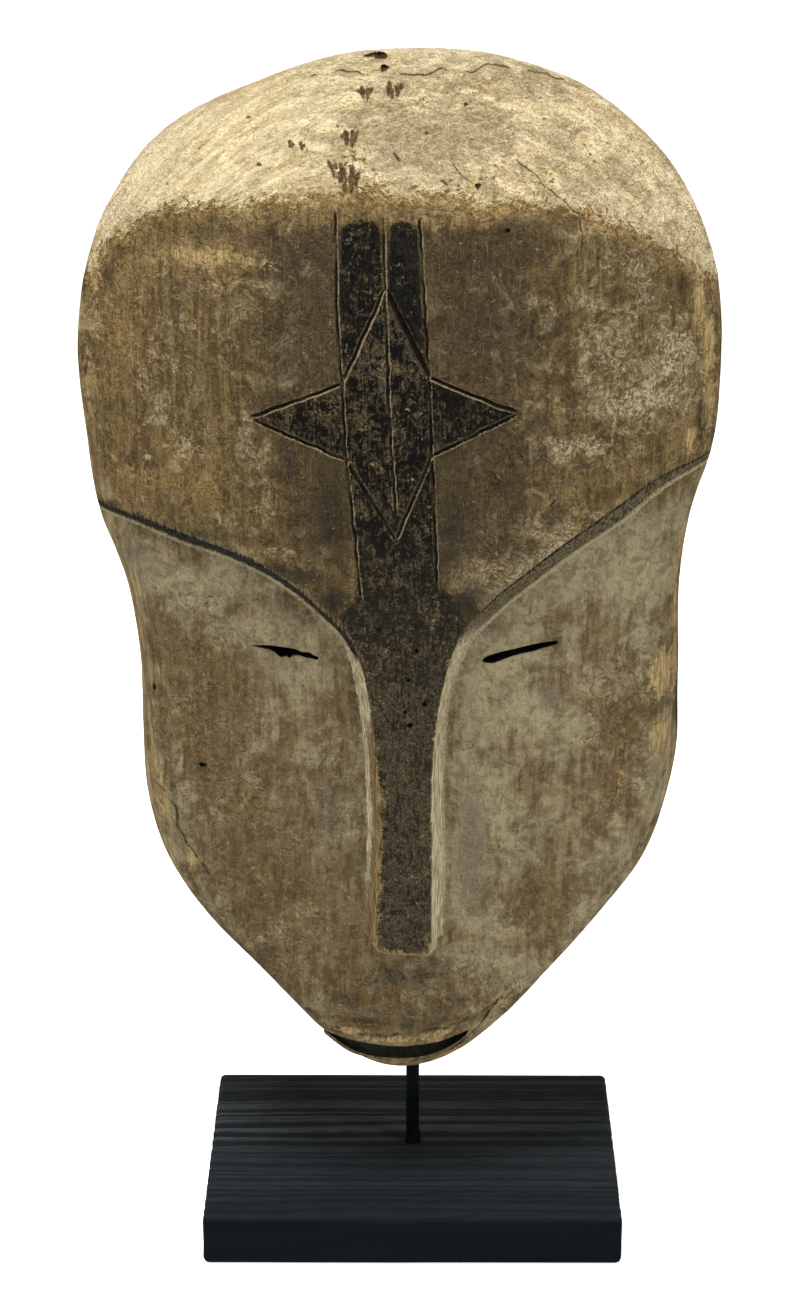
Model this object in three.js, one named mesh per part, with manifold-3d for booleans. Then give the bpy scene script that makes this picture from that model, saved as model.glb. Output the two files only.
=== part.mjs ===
// A carved wooden face mask, hollow behind, standing on a steel rod in a black wooden block.
// Millimetres, +Z up, the face looks along -Y. The origin is the middle of the block's underside.
import * as THREE from 'three';
import { mergeVertices } from 'three/addons/utils/BufferGeometryUtils.js';
import Module from 'manifold-3d';

const wasm = await Module();
wasm.setup();

// Block and rod
const BLOCK_WIDTH = 176;
const BLOCK_DEPTH = 150;
const BLOCK_HEIGHT = 22;
const BLOCK_CORNER = 4;
const BLOCK_ARRIS = 1.6;
const ROD_RADIUS = 2.7;
const ROD_Y = 2;
const ROD_IN_BLOCK = 15;
const ROD_TOP = 100;
const COLLAR_RADIUS = 3.6;
const COLLAR_HEIGHT = 7;
const FIT_GAP = 0.3;

// Mask: where the nose stands, how thick the wood is, and where the flat back rim lies
const NOSE_X = -4;
const FACE_WALL = 17;
const RIM_WALL = 14;
const RIM_Y_AT_CHIN = 30;
const RIM_Y_AT_CROWN = 66;
const CHIN_Z = 69.5;
const CROWN_Z = 495;
const SOLID_CHIN_TOP = 114;

// Outline of the mask seen from the front (across, up): chin, left side, crown, right side.
// The two sides differ, because the mask was carved by eye.
const OUTLINE = [
  [-2, 69.5], [-20, 72.7], [-39.7, 88], [-63.3, 116.4], [-87.5, 140.3], [-104.2, 166.4],
  [-111.7, 192.7], [-112.8, 222], [-113.5, 258], [-118.3, 289], [-128, 317], [-132, 348.7],
  [-134.3, 385], [-131, 416.5], [-119.2, 446], [-99, 468], [-65.5, 482.4], [-30, 492.8], [3, 495.2],
  [36, 492.4], [71, 480.7], [94, 464.4], [110.4, 444.4], [120.6, 417], [123.5, 380], [121, 345],
  [112.8, 315], [109.5, 283], [110.3, 240], [109.6, 206.6], [99.5, 170], [79.5, 141], [56.6, 115.2],
  [37.5, 93.4], [20.5, 78],
];

// The edge of the front face: the ridge under the crown, and the turn into the sides and chin
const FACE_EDGE = [
  [-2, 85], [-26, 92], [-50, 110], [-74, 138], [-90, 168], [-98, 195], [-99, 225], [-99.5, 262],
  [-104, 290], [-115, 318], [-121, 347], [-124, 385], [-124.5, 408], [-119, 427], [-100, 442],
  [-66, 450], [-30, 450], [4, 447.5], [40, 445.5], [72, 439.5], [95, 429], [110, 414], [117, 398],
  [117, 375], [112, 345], [103, 318], [98, 290], [97.5, 262], [98, 225], [95, 195], [85, 167],
  [66, 138], [46, 112], [25, 93],
];

// Upper edge of the step between forehead and cheeks: along each brow and down the nose
const LEFT_BROW = [
  [-130, 320.5], [-111.7, 318.3], [-90, 312.5], [-71, 307], [-54.7, 299.2], [-44, 291.5],
  [-35, 283], [-26.4, 273.5], [-21.5, 263], [-17.7, 244], [-14.8, 205], [-14.6, 177],
  [-16.3, 148], [-16.2, 137.5],
];
const NOSE_TIP = [[-16.2, 137.5], [-13.5, 134.3], [-3, 133], [6.5, 133.2], [8.1, 136.5]];
const RIGHT_BROW = [
  [8.1, 136.5], [7.9, 177], [7.8, 211], [11.3, 247], [18, 272], [25, 282], [32.6, 290],
  [45.3, 300.5], [60, 311.8], [82, 326], [99.5, 336.5], [121, 343.5],
];

// How far forward the middle of the face lies at each height (up, depth)
const MIDDLE_PROFILE = [
  [62, -50], [88, -54], [137, -60], [200, -66], [270, -71], [330, -77], [390, -80], [450, -77],
  [500, -72],
];

// How far forward the side wall begins at each height of the outline (up, depth)
const SIDE_PROFILE = [
  [60, -22], [140, -22], [220, -20], [320, -31], [390, -38], [408, -36], [439, -31], [453, -19],
  [466, -5], [474, 3], [480, 10], [487, 17], [496, 25],
];

// Sideways curve of the face, and the depth that the cheeks are cut below the forehead and nose
const HALF_WIDTH = 120;
const SIDE_CURVE = 34;
const SIDE_CURVE_POWER = 2.3;
const CHEEK_CUT_AT_NOSE = 9.5;
const CHEEK_CUT_AT_SIDE = 1.5;
const CHEEK_CUT_FADES = [25, 120];

// Widths of the bevel below the step, and how much narrower it gets towards the mask's sides
const BEVEL_ON_LEFT_BROW = 3.8;
const BEVEL_ON_RIGHT_BROW = 7;
const BEVEL_ON_NOSE = 5.2;
const BEVEL_UNDER_NOSE = 2.5;
const NOSE_UNDERSIDE_Z = 139;
const BROWS_FROM_NOSE = [250, 285];
const BEVEL_FADES = [85, 118];
const BEVEL_LOST_AT_SIDE = 0.45;

// Where the turn of the edge goes over from a round to the crown's long slope
const CROWN_TURN = [395, 440];
const CROWN_SLOPE_POWER = 0.75;

// The back: the rim's inset from the outline, and the rounds of the hollow
const RIM_INSET = 2.5;
const RIM_INSET_AT_CROWN = 8;
const RIM_INSET_GROWS = [430, 490];
const HOLLOW_ROUND = 28;
const HOLLOW_ROUND_AT_CROWN = 54;
const HOLLOW_ROUND_GROWS = [380, 460];
const HOLLOW_CHIN_ROUND = 20;
const HOLLOW_CHIN_DROP = 8;
const CHEEKS_END = [290, 320];

// Carved openings
const LEFT_EYE = [
  [-65.8, 266.4], [-55.7, 266.4], [-45.6, 265], [-38.7, 262.2], [-45.6, 261.6], [-51.3, 261.4],
  [-56, 264],
];
const RIGHT_EYE = [
  [28.2, 261.6], [35, 264.6], [46, 267.2], [58.5, 268.3], [50, 265.4], [40, 261.8], [30.2, 259.4],
];
const MOUTH_TOP = [[-42, 89], [-28, 87.4], [-17.5, 86.3], [-3.6, 86], [8, 87.8], [24, 94]];
const MOUTH_BOTTOM = [
  [20.4, 89], [12.9, 84.6], [2.8, 80.4], [-7.4, 79.6], [-20.5, 79.8], [-31, 81],
];
const IN_FRONT_Y = -90;
const EYE_BACK_Y = 20;
const MOUTH_BACK_Y = -35;

// Incised lines on the forehead (across, up). Their cutter rises above the face by a share.
const GROOVE_WIDTH = 1.6;
const GROOVE_DEPTH = 1.1;
const GROOVE_RISE = 2;
const GROOVE_STEP = 22;
const GROOVE_OVERLAP = 0.3;
const STAR = [
  [-11, 417.4], [-27.8, 379.8], [-64.4, 364.6], [-26.4, 349], [-6.8, 316.1], [7.3, 350.9],
  [41.2, 367.2], [6, 382.5],
];
const LEFT_LINE = [
  [-30.2, 447], [-29.6, 405], [-27.8, 379.8], [-26.4, 349], [-24.9, 335.5], [-20.7, 289],
];
const MIDDLE_LINE = [[-11.8, 446], [-11, 417.4], [-9.9, 381.7], [-6.8, 327.4]];
const RIGHT_LINE = [[2.4, 445], [3.4, 424.8], [6, 382.5], [7.3, 350.9], [9.5, 292.7]];

// Spacing of the mask's facets: steps along lines, cells of the fields, and gaps kept between
const EDGE_STEP = 9;
const EDGE_RINGS = [1.2, 4.5];
const RIDGE_STEP = 6;
const STEP_LINE_STEP = 6;
const FACE_CELL = 13;
const FACE_CLEARANCE = 8;
const HOLLOW_CELL = 20;
const HOLLOW_RING = 3.5;
const HOLLOW_CLEARANCE = 9;
const ROW_RATIO = 0.87;
const ROUND_SIDES = 16;

const clamp01 = (value) => Math.min(1, Math.max(0, value));

const mix = (from, to, share) => from + (to - from) * share;

function ease(from, to, value) {
  const t = clamp01((value - from) / (to - from));
  return t * t * (3 - 2 * t);
}

function lookUp(table, at) {
  const last = table.length - 1;
  if (at <= table[0][0]) return table[0][1];
  for (let i = 0; i < last; i += 1) {
    const [x0, y0] = table[i];
    const [x1, y1] = table[i + 1];
    if (at <= x1) return y0 + ((y1 - y0) * (at - x0)) / (x1 - x0);
  }
  return table[last][1];
}

// A smooth line through the points, with a point about every `step` millimetres
function smoothLine(points, step, closed = false) {
  const knots = points.map(([x, z]) => new THREE.Vector3(x, 0, z));
  const curve = new THREE.CatmullRomCurve3(knots, closed, 'centripetal');
  const count = Math.round(curve.getLength() / step);
  const line = curve.getSpacedPoints(count).map((p) => [p.x, p.z]);
  if (closed) line.pop();
  return line;
}

function distanceTo(line, x, z, closed = false) {
  let best = Infinity;
  let nearZ = z;
  const spans = closed ? line.length : line.length - 1;
  for (let i = 0; i < spans; i += 1) {
    const [ax, az] = line[i];
    const [bx, bz] = line[(i + 1) % line.length];
    const length2 = (bx - ax) ** 2 + (bz - az) ** 2;
    const t = clamp01(((x - ax) * (bx - ax) + (z - az) * (bz - az)) / length2);
    const gap = Math.hypot(x - ax - t * (bx - ax), z - az - t * (bz - az));
    if (gap < best) {
      best = gap;
      nearZ = az + t * (bz - az);
    }
  }
  return { gap: best, nearZ };
}

function isInside(loop, x, z) {
  let inside = false;
  for (let i = 0; i < loop.length; i += 1) {
    const [ax, az] = loop[i];
    const [bx, bz] = loop[(i + 1) % loop.length];
    if (az > z !== bz > z && x < ((bx - ax) * (z - az)) / (bz - az) + ax) inside = !inside;
  }
  return inside;
}

const outline = smoothLine(OUTLINE, EDGE_STEP, true);
const faceEdge = smoothLine(FACE_EDGE, RIDGE_STEP, true);
const stepLine = [
  ...smoothLine(LEFT_BROW, STEP_LINE_STEP),
  ...NOSE_TIP.slice(1, -1),
  ...smoothLine(RIGHT_BROW, STEP_LINE_STEP),
];
const FAR = 300;
const stepLeftZ = LEFT_BROW[0][1];
const stepRightZ = RIGHT_BROW[RIGHT_BROW.length - 1][1];
const forehead = [
  [-FAR, stepLeftZ], ...stepLine, [FAR, stepRightZ], [FAR, 2 * FAR], [-FAR, 2 * FAR],
];

// The smooth front of the blank, before the cheeks are cut down and the edges are turned
function blankDepth(x, z) {
  const sideways = Math.abs(x - NOSE_X) / HALF_WIDTH;
  return lookUp(MIDDLE_PROFILE, z) + SIDE_CURVE * sideways ** SIDE_CURVE_POWER;
}

function cheekCut(x) {
  const fade = ease(...CHEEK_CUT_FADES, Math.abs(x - NOSE_X));
  return mix(CHEEK_CUT_AT_NOSE, CHEEK_CUT_AT_SIDE, fade);
}

// Width of the bevel below the step: narrow on the left brow, wide on the right, even on the nose
function bevelWidth(x, z) {
  const brow = x < NOSE_X ? BEVEL_ON_LEFT_BROW : BEVEL_ON_RIGHT_BROW;
  const above = mix(BEVEL_ON_NOSE, brow, ease(...BROWS_FROM_NOSE, z));
  const width = z < NOSE_UNDERSIDE_Z ? BEVEL_UNDER_NOSE : above;
  return width * (1 - BEVEL_LOST_AT_SIDE * ease(...BEVEL_FADES, Math.abs(x - NOSE_X)));
}

// Turn of the front into the side wall: a round on the sides, a long slope on the crown
function edgeTurn(share, z) {
  const slope = 1 - (1 - share) ** CROWN_SLOPE_POWER;
  const round = 1 - Math.sqrt(Math.max(0, 1 - share * share));
  return mix(round, slope, ease(...CROWN_TURN, z));
}

function turned(depth, x, z) {
  if (isInside(faceEdge, x, z)) return depth;
  const inner = distanceTo(faceEdge, x, z, true).gap;
  const outer = distanceTo(outline, x, z, true);
  const share = inner / (inner + outer.gap + 1e-9);
  return depth + (lookUp(SIDE_PROFILE, outer.nearZ) - depth) * edgeTurn(share, z);
}

function frontDepth(x, z) {
  const raised = isInside(forehead, x, z);
  const gap = raised ? 0 : distanceTo(stepLine, x, z).gap;
  const cut = cheekCut(x) * clamp01(gap / bevelWidth(x, z));
  return turned(blankDepth(x, z) + cut, x, z);
}

function rimDepth(z) {
  return mix(RIM_Y_AT_CHIN, RIM_Y_AT_CROWN, (z - CHIN_Z) / (CROWN_Z - CHIN_Z));
}

// Triangulation of points in the plane (Delaunay, one point after another)
function triangulate(points) {
  const all = [...points, [-9000, -9000], [9000, -9000], [0, 9000]];
  const n = points.length;
  const withCircle = (a, b, c) => {
    const [ax, ay] = all[a];
    const bx = all[b][0] - ax;
    const by = all[b][1] - ay;
    const cx = all[c][0] - ax;
    const cy = all[c][1] - ay;
    const d = 2 * (bx * cy - by * cx);
    const ux = (cy * (bx * bx + by * by) - by * (cx * cx + cy * cy)) / d;
    const uy = (bx * (cx * cx + cy * cy) - cx * (bx * bx + by * by)) / d;
    return { corners: [a, b, c], x: ax + ux, y: ay + uy, r2: ux * ux + uy * uy };
  };
  let triangles = [withCircle(n, n + 1, n + 2)];
  for (let i = 0; i < n; i += 1) {
    const [px, py] = points[i];
    const keep = [];
    const edges = new Map();
    for (const t of triangles) {
      if ((px - t.x) ** 2 + (py - t.y) ** 2 >= t.r2) {
        keep.push(t);
      } else {
        const [a, b, c] = t.corners;
        for (const [from, to] of [[a, b], [b, c], [c, a]]) {
          if (edges.has(`${to},${from}`)) edges.delete(`${to},${from}`);
          else edges.set(`${from},${to}`, [from, to]);
        }
      }
    }
    for (const [from, to] of edges.values()) keep.push(withCircle(from, to, i));
    triangles = keep;
  }
  return triangles.map((t) => t.corners).filter((corners) => Math.max(...corners) < n);
}

// Triangles that fill a closed loop, with free points inside it. The loop's points come first.
function fillLoop(loop, inner) {
  const nudge = (i) => 1e-4 * Math.sin(12.9898 * i);
  const points = [...loop, ...inner].map(([x, z], i) => [x + nudge(i), z + nudge(i + 7)]);
  const triangles = triangulate(points).filter((corners) => {
    const x = (points[corners[0]][0] + points[corners[1]][0] + points[corners[2]][0]) / 3;
    const z = (points[corners[0]][1] + points[corners[1]][1] + points[corners[2]][1]) / 3;
    return isInside(loop, x, z);
  });
  return { points: [...loop, ...inner], triangles };
}

// Moves each point of a closed loop inwards by a distance that may change along the loop
function inset(loop, distanceAt) {
  return loop.map(([x, z], i) => {
    const [ax, az] = loop[(i + loop.length - 1) % loop.length];
    const [bx, bz] = loop[(i + 1) % loop.length];
    const length = Math.hypot(bx - ax, bz - az);
    const d = distanceAt(x, z);
    return [x + ((bz - az) / length) * d, z - ((bx - ax) / length) * d];
  });
}

function farFrom(points, chosen, gap) {
  return points.filter(([x, z]) => chosen.every(([a, b]) => Math.hypot(a - x, b - z) > gap));
}

// An even field of points in staggered rows over the mask, from a height upwards
function evenField(fromZ, cell) {
  const rowHeight = cell * ROW_RATIO;
  const points = [];
  for (let row = 0; fromZ + row * rowHeight < CROWN_Z; row += 1) {
    const first = ((row % 2) * cell) / 2 - 140;
    for (let x = first; x < 130; x += cell) points.push([x, fromZ + row * rowHeight]);
  }
  return points;
}

// Points of the front: rings that follow the edge, both lines of each step, and a field between
function frontPoints() {
  const rings = EDGE_RINGS.flatMap((d) => inset(outline, () => d));
  const bevelFoot = stepLine.map(([x, z], i) => {
    const [ax, az] = stepLine[Math.max(0, i - 1)];
    const [bx, bz] = stepLine[Math.min(stepLine.length - 1, i + 1)];
    const length = Math.hypot(bx - ax, bz - az);
    const w = bevelWidth(x, z);
    return [x + ((bz - az) / length) * w, z - ((bx - ax) / length) * w];
  });
  const within = ([x, z]) => isInside(outline, x, z) && distanceTo(outline, x, z, true).gap > 1;
  const steps = [...stepLine, ...bevelFoot].filter(within);
  const lines = [...steps, ...farFrom(faceEdge.filter(within), steps, 2.5)];
  const points = [...farFrom(rings.filter(within), lines, 3), ...lines];
  const field = evenField(CHIN_Z, FACE_CELL).filter(within);
  return [...points, ...farFrom(field, [...points, ...outline], FACE_CLEARANCE)];
}

// The hollow behind the face: its edge on the rim, and how deep it goes
const rimLoop = inset(outline, (x, z) => (
  mix(RIM_INSET, RIM_INSET_AT_CROWN, ease(...RIM_INSET_GROWS, z))
));
const hollowLoop = inset(rimLoop, () => RIM_WALL).map(([x, z]) => {
  const over = z - SOLID_CHIN_TOP;
  return [x, SOLID_CHIN_TOP + (over + Math.hypot(over, HOLLOW_CHIN_ROUND)) / 2 - HOLLOW_CHIN_DROP];
});

function hollowDepth(x, z) {
  const gap = distanceTo(hollowLoop, x, z, true).gap;
  const round = mix(HOLLOW_ROUND, HOLLOW_ROUND_AT_CROWN, ease(...HOLLOW_ROUND_GROWS, z));
  const share = clamp01(gap / round);
  const floor = blankDepth(x, z) + cheekCut(x) * (1 - ease(...CHEEKS_END, z)) + FACE_WALL;
  return mix(rimDepth(z), floor, Math.sqrt(1 - (1 - share) ** 2));
}

function hollowPoints() {
  const inHollow = ([x, z]) => isInside(hollowLoop, x, z);
  const ring = farFrom(inset(hollowLoop, () => HOLLOW_RING).filter(inHollow), hollowLoop, 2.5);
  const field = evenField(SOLID_CHIN_TOP, HOLLOW_CELL).filter((point) => (
    inHollow(point) && distanceTo(hollowLoop, ...point, true).gap > 2 * HOLLOW_RING
  ));
  return [...ring, ...farFrom(field, ring, HOLLOW_CLEARANCE)];
}

function closedGeometry(vertices, triangles) {
  const geometry = new THREE.BufferGeometry();
  geometry.setAttribute('position', new THREE.Float32BufferAttribute(vertices.flat(), 3));
  geometry.setIndex(triangles.flat());
  return geometry;
}

function carvedShell() {
  const vertices = [];
  const triangles = [];
  const add = (points) => {
    const first = vertices.length;
    vertices.push(...points);
    return first;
  };
  const count = outline.length;
  const front = fillLoop(outline, frontPoints());
  const frontStart = add(front.points.map(([x, z], i) => {
    const depth = i < count ? lookUp(SIDE_PROFILE, z) : frontDepth(x, z);
    return [x, depth, z];
  }));
  triangles.push(...front.triangles.map((corners) => corners.map((corner) => frontStart + corner)));
  // Side wall: from the front's edge to the flat rim, curving in a little
  const loops = [frontStart];
  for (const share of [0.5, 1]) {
    const bend = share * share;
    loops.push(add(outline.map(([x, z], i) => {
      const [rx, rz] = rimLoop[i];
      const start = lookUp(SIDE_PROFILE, z);
      return [x + (rx - x) * bend, start + (rimDepth(rz) - start) * share, z + (rz - z) * bend];
    })));
  }
  const hollow = fillLoop(hollowLoop, hollowPoints());
  const hollowStart = add(hollow.points.map(([x, z], i) => [
    x, i < count ? rimDepth(z) : hollowDepth(x, z), z,
  ]));
  loops.push(hollowStart);
  for (let k = 0; k + 1 < loops.length; k += 1) {
    for (let i = 0; i < count; i += 1) {
      const j = (i + 1) % count;
      const [a, b] = [loops[k] + i, loops[k] + j];
      const [c, d] = [loops[k + 1] + j, loops[k + 1] + i];
      triangles.push([a, b, c], [a, c, d]);
    }
  }
  triangles.push(...hollow.triangles.map((corners) => (
    corners.toReversed().map((corner) => hollowStart + corner)
  )));
  return closedGeometry(vertices, triangles);
}

function toSolid(geometry) {
  const bare = geometry.clone();
  bare.deleteAttribute('normal');
  bare.deleteAttribute('uv');
  const merged = mergeVertices(bare, 1e-4);
  return new wasm.Manifold(new wasm.Mesh({
    numProp: 3,
    vertProperties: new Float32Array(merged.attributes.position.array),
    triVerts: new Uint32Array(merged.index.array),
  }));
}

function toGeometry(solid) {
  const mesh = solid.getMesh();
  const geometry = new THREE.BufferGeometry();
  geometry.setAttribute('position', new THREE.BufferAttribute(mesh.vertProperties, 3));
  geometry.setIndex(new THREE.BufferAttribute(mesh.triVerts, 1));
  return geometry;
}

// A cutter with the given outline (across, up), running from one depth to another along Y
function straightCut(points, fromY, toY) {
  const shape = new THREE.Shape(points.map(([x, z]) => new THREE.Vector2(x, z)));
  const geometry = new THREE.ExtrudeGeometry(shape, { depth: toY - fromY, bevelEnabled: false });
  geometry.rotateX(Math.PI / 2);
  geometry.translate(0, toY, 0);
  return toSolid(geometry);
}

// V-shaped cutters along a line on the face, one for each straight run
function groove(points, closed = false) {
  const knots = closed ? [...points, points[0]] : points;
  const wide = (GROOVE_WIDTH / 2) * (1 + GROOVE_RISE);
  const cuts = [];
  for (let i = 0; i + 1 < knots.length; i += 1) {
    const [ax, az] = knots[i];
    const [bx, bz] = knots[i + 1];
    const length = Math.hypot(bx - ax, bz - az);
    const steps = Math.max(1, Math.round(length / GROOVE_STEP));
    const along = [(bx - ax) / length, (bz - az) / length];
    const side = [-along[1], along[0]];
    const vertices = [];
    const triangles = [];
    for (let k = 0; k <= steps; k += 1) {
      const at = mix(-GROOVE_OVERLAP, length + GROOVE_OVERLAP, k / steps);
      const x = ax + along[0] * at;
      const z = az + along[1] * at;
      const y = frontDepth(x, z);
      const top = y - GROOVE_RISE * GROOVE_DEPTH;
      vertices.push([x + side[0] * wide, top, z + side[1] * wide]);
      vertices.push([x - side[0] * wide, top, z - side[1] * wide]);
      vertices.push([x, y + GROOVE_DEPTH, z]);
      if (k > 0) {
        const p = 3 * (k - 1);
        for (const [u, v] of [[0, 1], [1, 2], [2, 0]]) {
          triangles.push([p + u, p + v, p + 3 + v], [p + u, p + 3 + v, p + 3 + u]);
        }
      }
    }
    const end = 3 * steps;
    triangles.push([0, 2, 1], [end, end + 1, end + 2]);
    cuts.push(toSolid(closedGeometry(vertices, triangles)));
  }
  return cuts;
}

function makeMask() {
  let solid = toSolid(carvedShell());
  const cuts = [
    straightCut(LEFT_EYE, IN_FRONT_Y, EYE_BACK_Y),
    straightCut(RIGHT_EYE, IN_FRONT_Y, EYE_BACK_Y),
    straightCut([...MOUTH_TOP, ...MOUTH_BOTTOM], IN_FRONT_Y, MOUTH_BACK_Y),
    ...groove(STAR, true),
    ...groove(LEFT_LINE),
    ...groove(MIDDLE_LINE),
    ...groove(RIGHT_LINE),
  ];
  for (const cut of cuts) solid = solid.subtract(cut);
  return toGeometry(solid.subtract(rodHole(0, ROD_TOP + FIT_GAP)));
}

// The hole that takes the rod, from one height to another
function rodHole(from, to) {
  const radius = ROD_RADIUS + FIT_GAP;
  const hole = new THREE.CylinderGeometry(radius, radius, to - from, ROUND_SIDES);
  hole.rotateX(Math.PI / 2);
  hole.translate(0, ROD_Y, (from + to) / 2);
  return toSolid(hole);
}

function makeRod() {
  const foot = BLOCK_HEIGHT - ROD_IN_BLOCK;
  const collar = BLOCK_HEIGHT + FIT_GAP;
  const profile = [
    [0, foot], [ROD_RADIUS, foot], [ROD_RADIUS, collar], [COLLAR_RADIUS, collar],
    [COLLAR_RADIUS, collar + COLLAR_HEIGHT / 2], [ROD_RADIUS, collar + COLLAR_HEIGHT],
    [ROD_RADIUS, ROD_TOP], [0, ROD_TOP],
  ];
  const points = profile.map(([radius, z]) => new THREE.Vector2(radius, z));
  const rod = new THREE.LatheGeometry(points, ROUND_SIDES);
  rod.rotateX(Math.PI / 2);
  rod.translate(0, ROD_Y, 0);
  return rod;
}

// The block: a sawn board with softened corners and arrises, drilled in the middle for the rod
function makeBlock() {
  const w = BLOCK_WIDTH / 2 - BLOCK_ARRIS;
  const d = BLOCK_DEPTH / 2 - BLOCK_ARRIS;
  const r = BLOCK_CORNER - BLOCK_ARRIS;
  const shape = new THREE.Shape();
  shape.moveTo(-w + r, -d);
  shape.lineTo(w - r, -d);
  shape.absarc(w - r, -d + r, r, -Math.PI / 2, 0);
  shape.lineTo(w, d - r);
  shape.absarc(w - r, d - r, r, 0, Math.PI / 2);
  shape.lineTo(-w + r, d);
  shape.absarc(-w + r, d - r, r, Math.PI / 2, Math.PI);
  shape.lineTo(-w, -d + r);
  shape.absarc(-w + r, -d + r, r, Math.PI, Math.PI * 1.5);
  const board = new THREE.ExtrudeGeometry(shape, {
    depth: BLOCK_HEIGHT - 2 * BLOCK_ARRIS,
    bevelThickness: BLOCK_ARRIS,
    bevelSize: BLOCK_ARRIS,
    bevelSegments: 2,
    curveSegments: 4,
  });
  board.translate(0, 0, BLOCK_ARRIS);
  const hole = rodHole(BLOCK_HEIGHT - ROD_IN_BLOCK - FIT_GAP, 2 * BLOCK_HEIGHT);
  return toGeometry(toSolid(board).subtract(hole));
}

function piece(name, geometry, color, roughness, metalness) {
  const material = new THREE.MeshStandardMaterial({ color, roughness, metalness });
  const mesh = new THREE.Mesh(geometry, material);
  mesh.name = name;
  return mesh;
}

const model = new THREE.Group();
model.add(piece('mask', makeMask(), 0x7a6b50, 0.8, 0));
model.add(piece('stand_rod', makeRod(), 0x17191b, 0.5, 0.6));
model.add(piece('stand_block', makeBlock(), 0x24282a, 0.7, 0));

export default model;
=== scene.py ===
import math

import bpy
import numpy as np
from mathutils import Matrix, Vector, noise
from mathutils.geometry import delaunay_2d_cdt


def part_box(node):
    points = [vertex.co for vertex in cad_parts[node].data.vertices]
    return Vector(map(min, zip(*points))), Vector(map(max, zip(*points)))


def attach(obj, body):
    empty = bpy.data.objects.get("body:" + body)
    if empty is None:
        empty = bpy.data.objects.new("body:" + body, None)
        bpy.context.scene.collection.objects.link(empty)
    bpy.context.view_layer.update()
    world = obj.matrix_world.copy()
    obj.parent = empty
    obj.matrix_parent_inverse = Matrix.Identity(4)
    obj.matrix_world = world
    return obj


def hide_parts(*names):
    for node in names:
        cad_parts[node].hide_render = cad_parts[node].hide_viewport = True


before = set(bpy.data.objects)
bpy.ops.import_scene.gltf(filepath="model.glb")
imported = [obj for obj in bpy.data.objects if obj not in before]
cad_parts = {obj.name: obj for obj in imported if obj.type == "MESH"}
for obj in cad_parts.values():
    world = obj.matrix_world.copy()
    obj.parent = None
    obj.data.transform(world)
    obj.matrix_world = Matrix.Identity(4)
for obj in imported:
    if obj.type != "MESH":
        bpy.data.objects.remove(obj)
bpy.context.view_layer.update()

# The mask: one block of light wood, carved by eye with adze and knife. A high forehead overhangs
# two flat cheeks, the crown slopes back behind a soft ridge, and the back is hollowed out down to
# a solid chin. Everything here is in millimetres until the mesh is made.

# Lines of the front as points across and up: its outline, the edge where it turns into the sides,
# the brows and the nose; then how deep the front lies at each height, in the middle and at the side
OUTLINE = [
    (-2, 69.5), (-20, 72.7), (-39.7, 88), (-63.3, 116.4), (-87.5, 140.3), (-104.2, 166.4),
    (-111.7, 192.7), (-112.8, 222), (-113.5, 258), (-118.3, 289), (-128, 317), (-132, 348.7),
    (-134.3, 385), (-131, 416.5), (-119.2, 446), (-99, 466.8), (-66.5, 482.1), (-30, 492.8),
    (3, 495.2), (36, 492.4), (71, 480.7), (94, 464.4), (110.4, 444.4), (120.6, 417), (123.5, 380),
    (121, 345), (112.8, 315), (109.5, 283), (110.3, 240), (109.6, 206.6), (99.5, 170),
    (79.5, 141), (56.6, 115.2), (37.5, 93.4), (20.5, 78),
]
FACE_EDGE = [
    (-2, 85), (-26, 92), (-50, 110), (-74, 138), (-90, 168), (-98, 195), (-99, 225), (-99.5, 262),
    (-104, 290), (-115, 318), (-121, 347), (-124, 385), (-124.5, 408), (-119, 427), (-100, 442),
    (-66, 450), (-30, 450), (4, 447.5), (40, 445.5), (72, 439.5), (95, 429), (110, 414),
    (117, 398), (117, 375), (112, 345), (103, 318), (98, 290), (97.5, 262), (98, 225), (95, 195),
    (85, 167), (66, 138), (46, 112), (25, 93),
]
LEFT_BROW = [
    (-130, 320.5), (-111.7, 318.3), (-90, 312.5), (-71, 307), (-54.7, 299.2), (-44, 291.5),
    (-35, 283), (-26.4, 273.5), (-21.5, 263), (-17.7, 244), (-14.8, 205), (-14.6, 177),
    (-16.3, 148), (-16.2, 137.5),
]
NOSE_TIP = [(-16.2, 137.5), (-13.5, 134.3), (-3, 133), (6.5, 133.2), (8.1, 136.5)]
RIGHT_BROW = [
    (8.1, 136.5), (7.9, 177), (7.8, 211), (11.3, 247), (18, 272), (25, 282), (32.6, 290),
    (45.3, 300.5), (60, 311.8), (82, 326), (99.5, 336.5), (121, 343.5),
]
MIDDLE_PROFILE = [
    (62, -50), (88, -54), (137, -60), (200, -66), (270, -71), (330, -77), (390, -80), (450, -77),
    (500, -72),
]
SIDE_PROFILE = [
    (60, -22), (140, -22), (220, -20), (320, -31), (390, -38), (408, -36), (439, -31), (453, -19),
    (466, -5), (474, 3), (480, 10), (487, 17), (496, 25),
]
NOSE_X = -4
BROW_FROM = 255, 290  # the nose widens into the brows between these heights
CHIN_Z = 69.5
CROWN_Z = 495
RIM_FROM, RIM_TO = 30, 66  # depth of the sloping rim at the chin and at the crown
MASK_LOW, MASK_HIGH = (np.array(corner) * 1000 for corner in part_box("mask"))


def ease(start, end, value):
    """0 up to the start and 1 from the end on, with a soft rise between."""
    t = np.clip((value - start) / (end - start), 0, 1)
    return t * t * (3 - 2 * t)


def mix(start, end, share):
    return start + (end - start) * share


def above_zero(value, soft):
    """The value where it is positive, else 0, with a round of the given size at the change."""
    return np.where(value > soft, value, np.clip(value + soft, 0, None) ** 2 / (4 * soft))


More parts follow.
